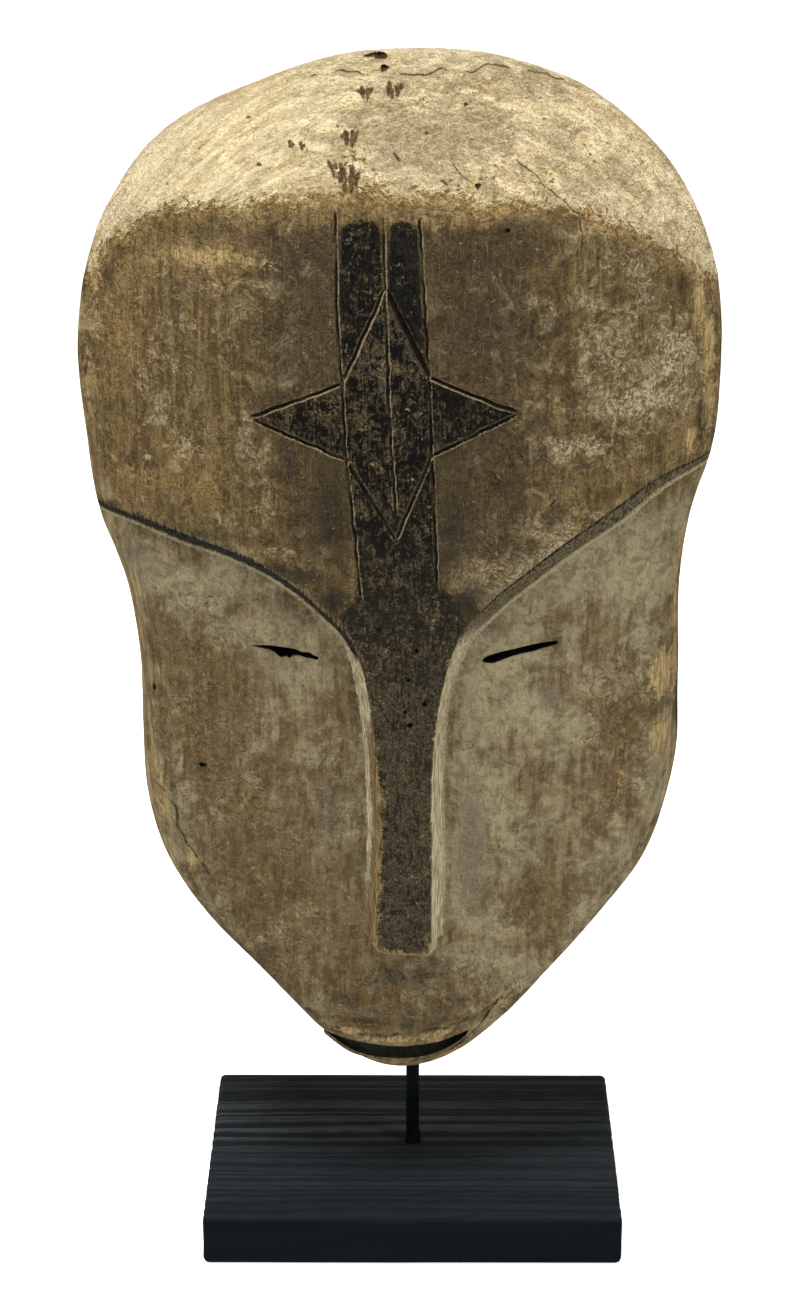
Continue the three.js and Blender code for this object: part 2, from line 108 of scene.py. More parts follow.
def evenly(line, gap, closed=False):
    """The same line with a point about every gap."""
    steps = np.hypot(*np.diff(line, axis=0).T)
    along = np.concatenate([[0], steps.cumsum()])
    at = np.linspace(0, along[-1], max(3, round(along[-1] / gap)) + 1)
    if closed:
        at = at[:-1]
    return np.column_stack([np.interp(at, along, line[:, k]) for k in (0, 1)])


def smooth_line(points, gap, closed=False):
    """A line that bends smoothly through the points, with a point about every gap."""
    knots = np.array(points, float)
    if closed:
        knots = np.vstack([knots[-1], knots, knots[:2]])
    else:
        knots = np.vstack([2 * knots[0] - knots[1], knots, 2 * knots[-1] - knots[-2]])
    t = np.linspace(0, 1, 24, endpoint=False)[:, None]
    runs = []
    for a, b, c, d in zip(knots, knots[1:], knots[2:], knots[3:]):
        ta, tb, tc = (math.sqrt(math.dist(p, q)) for p, q in ((a, b), (b, c), (c, d)))
        leave = ((b - a) / ta - (c - a) / (ta + tb) + (c - b) / tb) * tb
        arrive = ((c - b) / tb - (d - b) / (tb + tc) + (d - c) / tc) * tb
        runs.append((2 * t**3 - 3 * t**2 + 1) * b + (t**3 - 2 * t**2 + t) * leave
                    + (3 * t**2 - 2 * t**3) * c + (t**3 - t**2) * arrive)
    return evenly(np.vstack([*runs, knots[-2:-1]]), gap, closed)


def nearest(points, line, closed=False):
    """How far each point is from a line, and the nearest spot on it."""
    ends = np.roll(line, -1, axis=0) if closed else line[1:]
    gap = np.full(len(points), np.inf)
    spot = np.zeros_like(points)
    for a, b in zip(line, ends):
        run = b - a
        t = np.clip((points - a) @ run / (run @ run), 0, 1)
        here = a + t[:, None] * run
        far = np.hypot(*(points - here).T)
        closer = far < gap
        gap[closer] = far[closer]
        spot[closer] = here[closer]
    return gap, spot


def inside(points, loop):
    """Which points lie inside a closed loop."""
    x, z = points.T
    odd = np.zeros(len(points), bool)
    for (ax, az), (bx, bz) in zip(loop, np.roll(loop, -1, axis=0)):
        if az != bz:
            odd ^= ((az > z) != (bz > z)) & (x < (bx - ax) * (z - az) / (bz - az) + ax)
    return odd


def depth_inside(points, loop):
    """How deep inside a loop each point lies, negative outside it."""
    gap = nearest(points, loop, closed=True)[0]
    return np.where(inside(points, loop), gap, -gap)


def beside(line, offsets, closed=False):
    """Rows of points at the given distances to the right of a line."""
    ahead = np.roll(line, -1, axis=0) - np.roll(line, 1, axis=0)
    if not closed:
        ahead[0] = line[1] - line[0]
        ahead[-1] = line[-1] - line[-2]
    ahead /= np.hypot(*ahead.T)[:, None]
    across = np.column_stack([ahead[:, 1], -ahead[:, 0]])
    return [line + across * np.broadcast_to(offset, len(line))[:, None] for offset in offsets]


outline = smooth_line(OUTLINE, 1.8, closed=True)
outline_coarse = smooth_line(OUTLINE, 4, closed=True)
face_edge = smooth_line(FACE_EDGE, 4, closed=True)
step_line = np.vstack([
    smooth_line(LEFT_BROW, 1.5), smooth_line(NOSE_TIP, 1.2)[1:-1], smooth_line(RIGHT_BROW, 1.5),
])
forehead = np.vstack([
    [(-300, LEFT_BROW[0][1])], step_line, [(300, RIGHT_BROW[-1][1]), (300, 600), (-300, 600)],
])
middle_profile = smooth_line(MIDDLE_PROFILE, 2)
side_profile = smooth_line(SIDE_PROFILE, 1)


def blank_depth(x, z):
    """The front before the cheeks are cut back, which falls away to both sides of the nose."""
    fall, wide = 34, 120
    return np.interp(z, *middle_profile.T) + fall * (np.abs(x - NOSE_X) / wide) ** 2.3


def cheek_cut(x):
    """How far the cheeks are set back under the brow line."""
    return mix(9.5, 1.5, ease(25, 120, np.abs(x - NOSE_X)))


def bevel_width(x, z):
    """How wide the slanting facet beside the nose and under the brows is."""
    brow = np.where(x < NOSE_X, 3.8, 7)
    nose = np.where(x < NOSE_X, 4.7, mix(4.5, 3.5, ease(195, 250, z)))
    width = np.where(z < 139, 2.5, mix(nose, brow, ease(250, 285, z)))
    return width * (1 - 0.45 * ease(85, 118, np.abs(x - NOSE_X)))


def side_depth(z):
    """Where the front ends and the side wall begins."""
    return np.interp(z, *side_profile.T)


def rim_depth(z):
    """The flat rim behind, which leans back towards the crown."""
    return mix(RIM_FROM, RIM_TO, (z - CHIN_Z) / (CROWN_Z - CHIN_Z))


# The eyes are ragged slits cut right through, and the mouth is a crescent pocket under a worn
# lip. All three were opened with a knife and broke out a little along their lower edges.
LEFT_EYE = [
    (-65.4, 266.5), (-58.1, 266.5), (-52.3, 265.8), (-47.3, 265.1), (-45.1, 263.9), (-41.9, 263.9),
    (-40.5, 262.8), (-38.3, 262.1), (-38.8, 261.3), (-41.1, 262.1), (-43.4, 262.4), (-45.9, 263.3),
    (-49.0, 263.3), (-49.9, 261.9), (-51.1, 263.0), (-53.0, 262.1), (-54.3, 262.9), (-55.3, 264.1),
    (-58.2, 265.3), (-61.8, 265.9),
]
RIGHT_EYE = [
    (28.2, 260.7), (29.0, 261.8), (31.0, 262.9), (36.0, 264.5), (41.1, 265.6), (46.1, 266.7),
    (51.2, 267.6), (55.2, 268.1), (58.2, 268.3), (57.9, 267.5), (55.2, 266.6), (51.2, 265.8),
    (49.2, 265.0), (44.1, 263.9), (40.1, 262.9), (36.1, 261.4), (32.6, 260.1), (30.0, 260.2),
]
MOUTH = [
    (-37.4, 89.2), (-33.4, 89.3), (-30.6, 88.6), (-23.5, 87.5), (-15.1, 86.3), (-9.5, 85.7),
    (-2.4, 85.6), (4.6, 86.4), (11.6, 87.9), (17.2, 90.2), (20.7, 91.7), (23.4, 93.2),
    (22.1, 91.1), (18.6, 87.5), (13.0, 83.9), (7.4, 81.4), (1.8, 80.1), (-6.7, 79.8),
    (-15.1, 79.6), (-20.8, 80.0), (-26.5, 80.8), (-30.0, 82.6), (-33.8, 85.4),
]
MOUTH_BACK_Y = -37
MOUTH_MIDDLE = np.array([-9, 84.6])
left_eye, right_eye = (
    evenly(np.array(eye + eye[:1]), 0.55, closed=True) for eye in (LEFT_EYE, RIGHT_EYE))
mouth = evenly(np.array(MOUTH + MOUTH[:1], float), 0.8, closed=True)

# The star and the three upright lines are incised with a knife point: a narrow V, steeper on one
# side, that wanders a little. The star's upper right line was cut twice and is wider.
STAR = [
    (-11, 417.4), (-27.8, 379.8), (-64.4, 364.6), (-26.4, 349), (-6.8, 316.1), (7.3, 350.9),
    (41.2, 367.2), (6, 382.5),
]
TWICE_CUT = 7  # which side of the star, counted from its top
UPRIGHT_LINES = [
    [(-30.2, 447), (-29.9, 425), (-29.6, 405), (-27.8, 379.8), (-26.4, 349), (-24.9, 335.5),
     (-20.7, 289)],
    [(-11.8, 446), (-11, 417.4), (-10.3, 396), (-9.9, 381.7), (-8.4, 350), (-6.8, 327.4)],
    [(2.4, 445), (3.4, 424.8), (6, 382.5), (7.3, 350.9), (8.6, 320), (9.5, 292.7)],
]
# Drying cracks, knife slips and a ledge along a growth line. Each: its points, how far it wanders,
# its seed, half its width, its depth, the lean of its bottom to the right, and its broken share
CRACKS = [
    ([(39.6, 463.2), (51, 454.1), (64.4, 444.1), (65.2, 437)], 1.2, 71, 0.4, 0.85, 0, 0.8),
    ([(65.1, 439.3), (65.6, 426.8), (64.6, 413.3), (65.4, 398)], 1.2, 73, 0.35, 0.6, 0, 0.8),
    ([(-43, 487.3), (-35.9, 488.8), (-28.2, 489.7), (-18.5, 488.9), (-8.9, 489.3), (-1.6, 488.1),
      (8, 489), (16.4, 489.5), (23.3, 489.9), (33.5, 491), (40.7, 489.3), (50.1, 488.1),
      (61.4, 484.2)], 2.0, 75, 0.75, 0.95, 0.2, 0.8),
    ([(-108.5, 201), (-101.9, 198.4), (-97.8, 192.5), (-96.3, 183.1), (-93.9, 177.1),
      (-91.5, 173.3), (-87, 167.9), (-83.3, 162.8)], 2.0, 77, 0.65, 0.7, 0.4, 0.5),
    ([(-33.5, 94.9), (-24.4, 91.9), (-13.7, 91.3), (-3.3, 91.5), (7.4, 93.7), (16.9, 96.6),
      (28.7, 100.4), (37.9, 109.9)], 1.6, 79, 0.8, 0.66, 0.3, 0.7),
    ([(7.8, 76.9), (15, 81.3), (20.7, 86.8), (27.5, 94.5), (36.4, 108.5)],
     0.8, 81, 0.75, 0.8, 0, 0.35),
    ([(-115.3, 337.5), (-106.8, 344.6), (-97.2, 352.5)], 1.0, 83, 0.7, 0.22, 0, 0.8),
    ([(53.5, 327.6), (58.5, 332.4)], 0.5, 85, 0.5, 0.7, 0, 0.8),
    ([(31.3, 342.8), (34.6, 338.8), (37.3, 332.9)], 0.4, 89, 0.9, 0.8, 0.2, 0.8),
    ([(14.5, 462.5), (19.2, 457.6), (23.4, 455)], 0.6, 91, 0.45, 0.8, 0, 0.8),
    ([(-8.5, 466.5), (-4.6, 462.2)], 0.5, 87, 0.8, 0.9, 0.2, 0.8),
]
# Beetle holes, knots and chips: place across and up, half width, half height, depth, lean
PITS = [
    (-14.6, 493.6, 4.4, 0.7, 5, 0), (-11.7, 490.2, 1.5, 0.9, 4, 0),
    (-20.6, 483.4, 1.9, 2.5, 1.4, 0.9), (-18.0, 483.2, 1.6, 2.4, 1.4, -0.9),
    (-9.4, 483.9, 2.0, 2.9, 1.4, 0.9), (-6.2, 483.9, 1.9, 2.9, 1.4, -0.9),
    (20.6, 479.3, 0.7, 0.5, 2, 0), (-29.1, 473.2, 2.2, 0.8, 0.8, 0.3),
    (-26.6, 469.9, 1.8, 3.2, 1.4, 0.9), (-23.6, 469.6, 1.7, 3.3, 1.4, -0.9),
    (-48.2, 467.2, 1.2, 1.7, 1.3, 0.4), (-43.6, 466.8, 1.1, 1.7, 1.3, 0.4),
    (-27.7, 458.2, 3.0, 4.0, 1.4, 0.6), (-23.2, 457.4, 2.7, 4.2, 1.4, -0.5),
    (-31.2, 460.4, 2.0, 2.8, 1.3, 0.8), (12.8, 456.2, 3.2, 1.2, 0.8, 0.3),
    (12.8, 453.6, 1.4, 0.6, 1.0, 0), (24.9, 454.6, 1.2, 0.9, 1.6, 0), (17.5, 455, 0.9, 0.5, 0.9, 0),
    (36.3, 439.4, 1.0, 0.8, 1.0, 0), (40.6, 436.2, 1.2, 1.6, 0.7, 0.5),
    (32.5, 338.2, 1.8, 3.4, 0.75, 0.9), (-106.1, 243.2, 0.5, 1.7, 1.6, 0),
    (-86.1, 212.7, 1.7, 0.5, 1.6, 0), (-83.3, 206.3, 1.7, 0.4, 0.4, 0),
    (1.5, 268.5, 0.7, 0.7, 1.6, 0), (-1.7, 255.9, 0.8, 0.6, 1.6, 0), (4.6, 245.5, 0.8, 0.7, 1.6, 0),
    (-1.1, 236.4, 1.1, 0.6, 1.5, 0), (-3.0, 242.1, 0.6, 0.6, 1.2, 0),
    (-13.5, 277.7, 0.6, 0.6, 1.2, 0), (-8.8, 268.2, 0.5, 0.5, 1.0, 0),
    (8.4, 263.5, 0.5, 0.5, 1.0, 0), (-97, 452, 1.2, 0.6, 0.7, 0), (70, 462, 1.1, 0.6, 0.8, 0),
    (-66, 474, 1.6, 0.6, 0.8, 0), (52, 474, 1.3, 0.6, 0.8, 0), (-60.5, 461, 1.2, 0.7, 0.9, 0),
    (5, 471, 1.0, 0.7, 0.9, 0),
]


def hand_cut(points, wander, seed):
    """A knife line through the points, which wanders a little."""
    line = evenly(np.array(points, float), 0.7)
    shift = [wander * noise.noise(Vector((0.11 * i, seed, 0))) for i in range(len(line))]
    return beside(line, [np.array(shift)])[0]


# Each cut: its line, half its width, its depth, the lean of its bottom, and its broken share
cuts = []
for k, start in enumerate(STAR):
    wide, deep = (1.4, 1.35) if k == TWICE_CUT else (0.72, 1.05)
    line = hand_cut([start, STAR[(k + 1) % len(STAR)]], 0.5, 3 * k)
    cuts.append((line, wide, deep, 0.3 * wide, 0.2))
for k, points in enumerate(UPRIGHT_LINES):
    cuts.append((hand_cut(smooth_line(points, 3), 0.6, 40 + 7 * k), 0.62, 0.95, -0.12, 0.3))
for points, wander, seed, *shape in CRACKS:
    cuts.append((hand_cut(points, wander, seed), *shape))


def hump(value, middle, spread):
    """1 at the middle and soft towards 0 on both sides of it."""
    return np.exp(-(((value - middle) / spread) ** 2))


def cut_depth(points):
    """How deep the cuts and pits go at each point, how near their lips are, and which walls of
    the knife lines face the light above and to the left (0 to 1)."""
    deep, lip, lit_wall = np.zeros((3, len(points)))
    for line, wide, depth, lean, broken in cuts:
        low, high = line.min(axis=0) - 4, line.max(axis=0) + 4
        near = ((points > low) & (points < high)).all(axis=1)
        gap, spot = nearest(points[near], line)
        ahead = line[-1] - line[0]
        way = points[near] - spot
        right = np.sign(way[:, 0] * ahead[1] - way[:, 1] * ahead[0]) * gap
        reach = np.where(right > lean, wide - lean, wide + lean)
        share = np.clip(1 - np.abs(right - lean) / reach, 0, 1)
        ends = np.minimum(np.hypot(*(spot - line[0]).T), np.hypot(*(spot - line[-1]).T))
        x, z = spot.T
        gaps = np.sin(0.23 * x + 0.15 * z) + 0.7 * np.sin(0.5 * x - 0.31 * z)
        fade = ease(-0.6, 1.6, ends) * (1 - broken * ease(-0.2, 1.2, gaps))
        side = (way[:, 0] * 0.5 - way[:, 1]) / np.maximum(gap, 0.05)
        wall = fade * depth * ease(0, 0.5, side) * hump(gap, wide * 0.85, 0.4 * wide)
        deep[near] = np.maximum(deep[near], depth * fade * share)
        lip[near] = np.maximum(lip[near], fade * hump(gap - wide, 0.35, 0.35))
        lit_wall[near] = np.maximum(lit_wall[near], wall)
    for x, z, wide, high, depth, lean in PITS:
        near = (np.abs(points[:, 0] - x) < 3 * wide) & (np.abs(points[:, 1] - z) < 3 * high)
        torn = lean != 0
        dz = (points[near, 1] - z) / high
        dx = (points[near, 0] - x) / (wide * (1 + 0.5 * np.clip(dz, -1, 1) * torn))
        fibres = np.sin(6 * dx + 2.0 * np.sin(2 * dz + x) + 2 * lean * dz)
        strokes = 1 - 0.5 * torn * (0.5 + 0.5 * fibres)
        turn = np.arctan2(dz, dx)
        ragged = (1 + 0.22 * np.sin(3 * turn + x) + 0.16 * np.sin(5 * turn + z)
                  + 0.1 * np.sin(9 * turn + x))
        radius = np.hypot(dx + lean * dz * 0.5, dz) / ragged
        deep[near] = np.maximum(deep[near], depth * strokes * (1 - ease(0.35, 1.1, radius)))
        lip[near] = np.maximum(lip[near], 0.7 * hump(radius, 1.35, 0.2))
    return deep, lip, lit_wall


def front(points):
    """The depth of the carved front at each point, with the distances that its finish follows."""
    x, z = points.T
    gap = nearest(points, step_line)[0]
    below = np.where(inside(points, forehead), -gap, gap)
    width = bevel_width(x, z)
    ramp = (above_zero(below, 0.9) - above_zero(below - width, 0.5)) / width
    brow = ease(*BROW_FROM, z)
    foot = np.clip(1 - np.abs(below - width + 0.4) / 0.9, 0, 1)
    top_line = np.clip(1 - np.abs(below + 0.1) / 0.55, 0, 1)
    edge = -depth_inside(points, face_edge)
    outer, spot = nearest(points, outline_coarse, closed=True)
    turned = above_zero(edge, mix(3, 5, ease(400, 440, z)))
    share = turned / (turned + outer + 1e-6)
    slope = 1 - (1 - share) ** 0.75
    bend = mix(1 - np.sqrt(np.clip(1 - share**2, 0, 1)), slope, ease(395, 440, z))
    plain = blank_depth(x, z) + cheek_cut(x) * ramp
    plain += mix(0.25, 0.95, brow) * foot + 0.5 * brow * (x > NOSE_X) * top_line
    deep, lip, lit_wall = cut_depth(points)
    depth = mix(plain, side_depth(spot[:, 1]), bend) + deep - 0.12 * lip
    return depth, {"outer": outer, "below": below, "width": width, "edge": edge, "deep": deep,
                   "lip": lip, "lit_wall": lit_wall}


# What is painted, rubbed or stained on the front. Black pigment fills the two tongues between the
# upright lines, most of the star, the strip below it and the front of the nose. Pale clay is rubbed
# over the cheeks and parts of the forehead, and brown and soot stains lie over both.
TONGUES = [
    [(-28.7, 437.7), (-27.2, 441.6), (-23.7, 443.5), (-16.8, 444), (-13, 441.7), (-11.8, 436.3),
     (-11.4, 416.3), (-16.1, 406.1), (-20.7, 395.9), (-24.6, 387.1), (-28.4, 380), (-29, 397)],
    [(-9.5, 436.3), (-8.7, 441), (-6, 443.3), (-2.2, 443.6), (0.9, 441.3), (2, 436.4),
     (3.3, 413.2), (4.5, 395.6), (4.2, 386.8), (-3.3, 401), (-10.4, 414.5)],
]
STRIP = [
    (-27, 352), (-25.5, 335), (-22, 300), (-23, 290), (-30, 283), (-26.4, 273.5), (-21.5, 263),
    (-17.7, 244), (-14.8, 205), (-14.6, 177), (-16.3, 148), (-14, 136), (-3, 133.6), (8.1, 136),
    (7.9, 177), (7.8, 211), (11.3, 247), (18, 272), (22, 280), (17, 288), (11, 298), (9, 320),
    (8, 352), (-6, 316),
]
# Patches of clay, of brown stain, of bare pale wood, of soot, and of grey dirt on the crown and
# the cheeks. Each patch: place across and up, half width, half height, strength
PATCHES = {
    "chalk": [
        (32, 96, 8, 10, 1.0), (-99, 187, 8, 20, 0.95), (-84, 152, 8, 16, 0.8),
        (88, 176, 10, 20, 0.8), (70, 146, 10, 12, 0.8), (-88, 291, 34, 17, 0.9),
        (-60, 277, 40, 13, 0.85), (-44, 240, 17, 36, 0.35), (-30, 190, 13, 30, 0.4),
        (62, 296, 46, 18, 1.0), (34, 262, 28, 22, 0.95), (28, 212, 22, 44, 0.8),
        (52, 236, 16, 20, 0.75), (-38, 106, 6, 8, 0.9), (46, 398, 20, 18, 0.5),
        (-47, 410, 12, 26, 0.7), (60, 352, 30, 8, 0.8), (-80, 410, 30, 22, 0.4),
        (20, 160, 18, 28, 0.75), (72, 386, 22, 14, 0.75), (91, 369, 18, 8, 1.1),
        (103, 385, 9, 16, 0.95), (86, 402, 26, 30, 0.5), (98, 318, 14, 10, 1.0),
        (66, 262, 26, 20, 0.5), (-66, 356, 5, 7, 0.95), (-88, 352, 12, 8, 0.5),
        (-100, 380, 12, 16, 0.5), (98, 300, 12, 22, 0.9), (90, 376, 22, 20, 0.7),
        (50, 318, 40, 8, 0.8), (98, 205, 10, 34, 0.7), (64, 304, 40, 10, 1.3),
        (104, 318, 10, 12, 1.2), (92, 262, 14, 16, 0.6), (44, 180, 16, 20, 0.5),
        (46, 118, 16, 12, 0.6),
    ],
    "umber": [
        (-88, 232, 22, 46, 0.8), (-62, 150, 26, 40, 0.65), (86, 230, 13, 30, 0.95),
        (53, 152, 14, 10, 0.8), (0, 112, 40, 12, 0.8), (-98, 332, 26, 20, 0.7),
        (62, 330, 40, 16, 0.35), (-52, 350, 10, 14, 0.4), (30, 430, 36, 12, 0.3),
        (-78, 428, 34, 14, 0.6), (-24, 98, 16, 5, 0.8), (104, 262, 6, 22, 0.5),
        (-70, 200, 16, 26, 0.5), (-116, 395, 9, 50, 0.9), (112, 350, 10, 18, 0.7),
        (-18, 392, 8, 10, 0.8), (-32, 220, 10, 30, 0.35), (100, 425, 12, 8, 0.6),
    ],
    "pale": [
        (117, 378, 5, 34, 0.75), (-80, 427, 26, 5, 0.75), (-130, 368, 5, 26, 0.55),
        (-108, 215, 4, 34, 0.4), (96, 205, 5, 22, 0.35), (-28, 93, 9, 2.2, 0.7),
        (-9, 89.4, 16, 1.8, 0.75), (12, 92.4, 9, 2.4, 0.7), (16, 81, 5, 2, 0.8),
        (24, 90, 4, 4, 0.7), (101.5, 250, 5.5, 13, 1.05), (101.5, 223, 5, 8, 0.9),
        (85.3, 200, 2.4, 30, 0.45), (76, 139, 7, 5, 0.7), (-104, 196, 3.5, 14, 0.8),
        (-92, 168, 5, 10, 0.6), (113, 405, 3, 12, 0.9), (-114, 338, 12, 7, 0.5),
        (112, 350, 4, 10, 0.6), (-98.5, 350, 2, 1.6, 0.9), (-106, 344, 3, 1.6, 0.7),
        (-24, 401, 2.5, 3, 0.7), (-14, 400, 3, 3, 0.6), (-126, 420, 4, 14, 0.8),
        (38, 104, 3, 6, 0.6),
    ],
    "soot": [
        (-82, 314, 16, 3.5, 0.7), (-50, 301, 15, 5, 0.8), (-32, 289, 8, 8, 0.85),
        (22, 289, 10, 9, 0.8), (-43, 101.5, 3.5, 2.2, 0.9), (30, 99.6, 4.5, 2, 0.5),
        (115, 362, 2.6, 16, 0.9), (110, 233, 2.6, 17, 1.0), (40, 441, 12, 4, 0.5),
        (-128, 322, 12, 3, 0.6), (-36, 420, 6, 26, 0.35), (-32, 325, 8, 26, 0.6),
        (16, 318, 8, 26, 0.6), (5, 236, 14, 60, 0.25), (-50, 346, 4, 10, 0.55),
        (34, 338, 7, 6, 0.5), (40, 306, 10, 5, 0.4), (107, 414, 4, 6, 0.7), (-8, 96, 22, 2.5, 0.5),
        (28, 428, 26, 8, 0.45), (26, 402, 16, 14, 0.35), (109, 290, 2.5, 14, 0.5),
        (-5, 120, 24, 6, 0.5), (-27, 108, 12, 5, 0.5), (16, 108, 14, 4, 0.4),
        (-52, 392, 16, 10, 0.25), (-44, 430, 14, 8, 0.4), (-60, 128, 12, 8, 0.3),
        (18, 352, 12, 16, 0.35), (-70, 150, 10, 6, 0.3), (-20, 98, 14, 1.6, 0.7),
        (20, 99, 12, 1.8, 0.6), (-80, 436, 30, 3, 0.3), (60, 433, 24, 3, 0.35), (8, 128, 8, 3, 0.4),
    ],
    "grime": [
        (0, 470, 46, 12, 1.0), (-20, 456, 34, 8, 0.6), (62, 452, 30, 10, 0.7),
        (100, 425, 12, 14, 0.3), (-62, 452, 20, 6, 0.5), (20, 486, 60, 6, 0.8),
        (-46, 467, 20, 10, 0.6), (10, 458, 60, 12, 0.5), (-36, 488, 30, 4, 0.6),
        (88, 446, 12, 8, 0.5), (24, 182, 7, 34, 0.9), (55, 244.4, 4, 6, 1.1),
        (-78, 224, 8, 12, 0.7), (-34, 196, 9, 36, 0.6), (-52, 262, 12, 20, 0.5),
        (32, 276, 10, 6, 0.7), (44, 170, 8, 14, 0.5), (-112, 300, 10, 8, 0.6),
    ],
}
# How far the finish follows the edges of the paint, and the edge where the front turns
PAINT_REACH = 12
EDGE_REACH = 14


def patches(points, spots):
    """How strong the soft patches are at each point."""
    total = np.zeros(len(points))
    for x, z, wide, high, strength in spots:
        far = ((points[:, 0] - x) / wide) ** 2 + ((points[:, 1] - z) / high) ** 2
        total = np.maximum(total, strength * np.exp(-far))
    return total


def finish_of(points, field):
    """The finish values of the front, which the material reads: each is 0 to 1, or millimetres."""
    x, z = points.T
    below, width, edge = field["below"], field["width"], field["edge"]
    brow = ease(*BROW_FROM, z)
    on_left = x < NOSE_X
    star, strip, left, right = (
        depth_inside(points, np.array(shape)) for shape in (STAR, STRIP, *TONGUES))
    upper_arm = ease(372, 392, z) * (star > -1) > 0.5
    cover = np.select([upper_arm, star > 0, right > -1, left > -1],
                      [0.54, mix(0.66, 0.8, ease(-20, 20, x)), 1.08, 0.8],
                      mix(0.47, 0.72, ease(232, 290, z)))
    # The cream crown's lower edge bows a little
    bow = 2.2 * hump(x, -70, 25) - 3.6 * hump(x, -4, 40) - 2 * hump(x, 66, 22)
    # Pale facets beside the nose, with torn wood along their upper edges
    facet = ease(-0.3, 0.6, below) * (1 - ease(width - 0.5, width + 0.3, below))
    left_cream = ease(1.9, 2.9, below) * mix(0.25, 0.7, ease(150, 185, z))
    left_cream = np.maximum(left_cream, ease(222, 252, z))
    left_torn = hump(below, 0.5, 2.8) * mix(1.15, 0.2, ease(212, 250, z))
    right_torn = 0.6 * hump(below, 0, 0.9) * ease(165, 180, z)
    nose_foot = 1.2 * hump(below, -0.2, 1.5) * ease(141, 138, z)
    # Charcoal in the steps under the brows, and a painted highlight along the worn edge below them
    band = np.where(on_left, mix(2.2, width, ease(272, 290, z)), width)
    charcoal = np.where(on_left, 1, 0.6 + 0.6 * hump(below, 0.1, 0.6))
    charcoal = charcoal * np.where(on_left, ease(260, 268, z), brow)
    charcoal = charcoal * ease(-2.8 * on_left - 0.4, 0.3, below)
    charcoal = charcoal * (1 - ease(band - 0.4, band + 0.3, below))
    worn_edge_highlight = hump(below - width, 0.5, 0.75) * ease(142, 160, z)
    worn_edge_highlight = worn_edge_highlight * np.where(on_left, mix(0.1, 0.75, brow), mix(0.7, 1, brow))
    # Smoke has darkened the forehead beside the painted strip
    halo = hump(np.clip(np.abs(x + 10) - 22, 0, None), 0, np.where(on_left, 40, 58))
    halo = halo * (1 - ease(436, 446, z)) * ease(2, -1, below)
    right_arris = hump(field["outer"], 2.4, 1.0) * (x > 0)
    right_arris = right_arris * ease(225, 240, z) * ease(326, 312, z) * 0.95
    finish = {name: patches(points, spots) for name, spots in PATCHES.items()}
    finish["pale"] = np.maximum(finish["pale"], right_arris)
    paint = np.maximum.reduce([star - 0.4, strip, left, right])
    crown = np.clip(edge + bow, -EDGE_REACH, EDGE_REACH)
    return finish | {
        "paint": np.clip(paint, -PAINT_REACH, PAINT_REACH),
        "cover": cover,
        "cheek": np.clip(below, -PAINT_REACH, PAINT_REACH),
        "crown": mix(-EDGE_REACH, crown, ease(384, 432, z)),
        "turn": np.clip(edge, -EDGE_REACH, EDGE_REACH),
        "cream": facet * (1 - brow) * np.where(on_left, left_cream, 1),
        "torn": np.where(on_left, left_torn, right_torn) * (1 - brow) + nose_foot,
        "charcoal": charcoal,
        "worn_edge_highlight": worn_edge_highlight + hump(below, 0.5, 0.9) * ease(140, 137, z),
        "dusk": halo * mix(0.55, 1, ease(300, 330, z)),
        "cut": np.clip(field["deep"], 0, 1.6),
        "lip": field["lip"],
        "lit_wall": np.clip(field["lit_wall"], 0, 1),
        "hollow": np.zeros(len(points)),
    }


class Taken:
    """A fine raster over the mask that remembers where points already are."""

    def __init__(self, reach):
        self.reach = reach
        self.marked = np.zeros((int(320 / reach) + 4, int(480 / reach) + 4), bool)

    def cells(self, points):
        return ((points - (-160, 40)) / self.reach).astype(int).T

    def add(self, points):
        across, up = self.cells(points)
        for dx in (-1, 0, 1):
            for dz in (-1, 0, 1):
                self.marked[across + dx, up + dz] = True

    def free(self, points):
        """The points that are in no marked cell, and one of those that share a cell."""
        points = points[~self.marked[tuple(self.cells(points))]]
        first = np.unique(self.cells(points), axis=1, return_index=True)[1]
        return points[np.sort(first)]


def even_field(low, high, cell, row_height):
    """Staggered rows of points over the mask. Rows may get closer together further up."""
    rows = []
    z = low
    while z < high:
        rows.append((z, len(rows) % 2))
        z += row_height(z)
    return np.array([
        (x, z) for z, odd in rows for x in np.arange(-136 + odd * cell / 2, 126, cell)
    ])


def fill(loops, inner):
    """Triangles inside the first loop and outside the others. The loops' points come first."""
    edges = []
    start = 0
    for loop in loops:
        edges += [(start + i, start + (i + 1) % len(loop)) for i in range(len(loop))]
        start += len(loop)
    points = np.vstack([*loops, inner])
    found = delaunay_2d_cdt([Vector(p) for p in points], edges, [], 0, 1e-7)
    corners = np.array([[found[3][v][0] for v in face] for face in found[2]])
    middle = points[corners].mean(axis=1)
    keep = inside(middle, loops[0])
    for hole in loops[1:]:
        keep &= ~inside(middle, hole)
    corners = corners[keep]
    a, b, c = (points[corners[:, k]] for k in range(3))
    turned = np.cross(b - a, c - a) < 0
    corners[turned] = corners[turned][:, ::-1]
    return points, corners


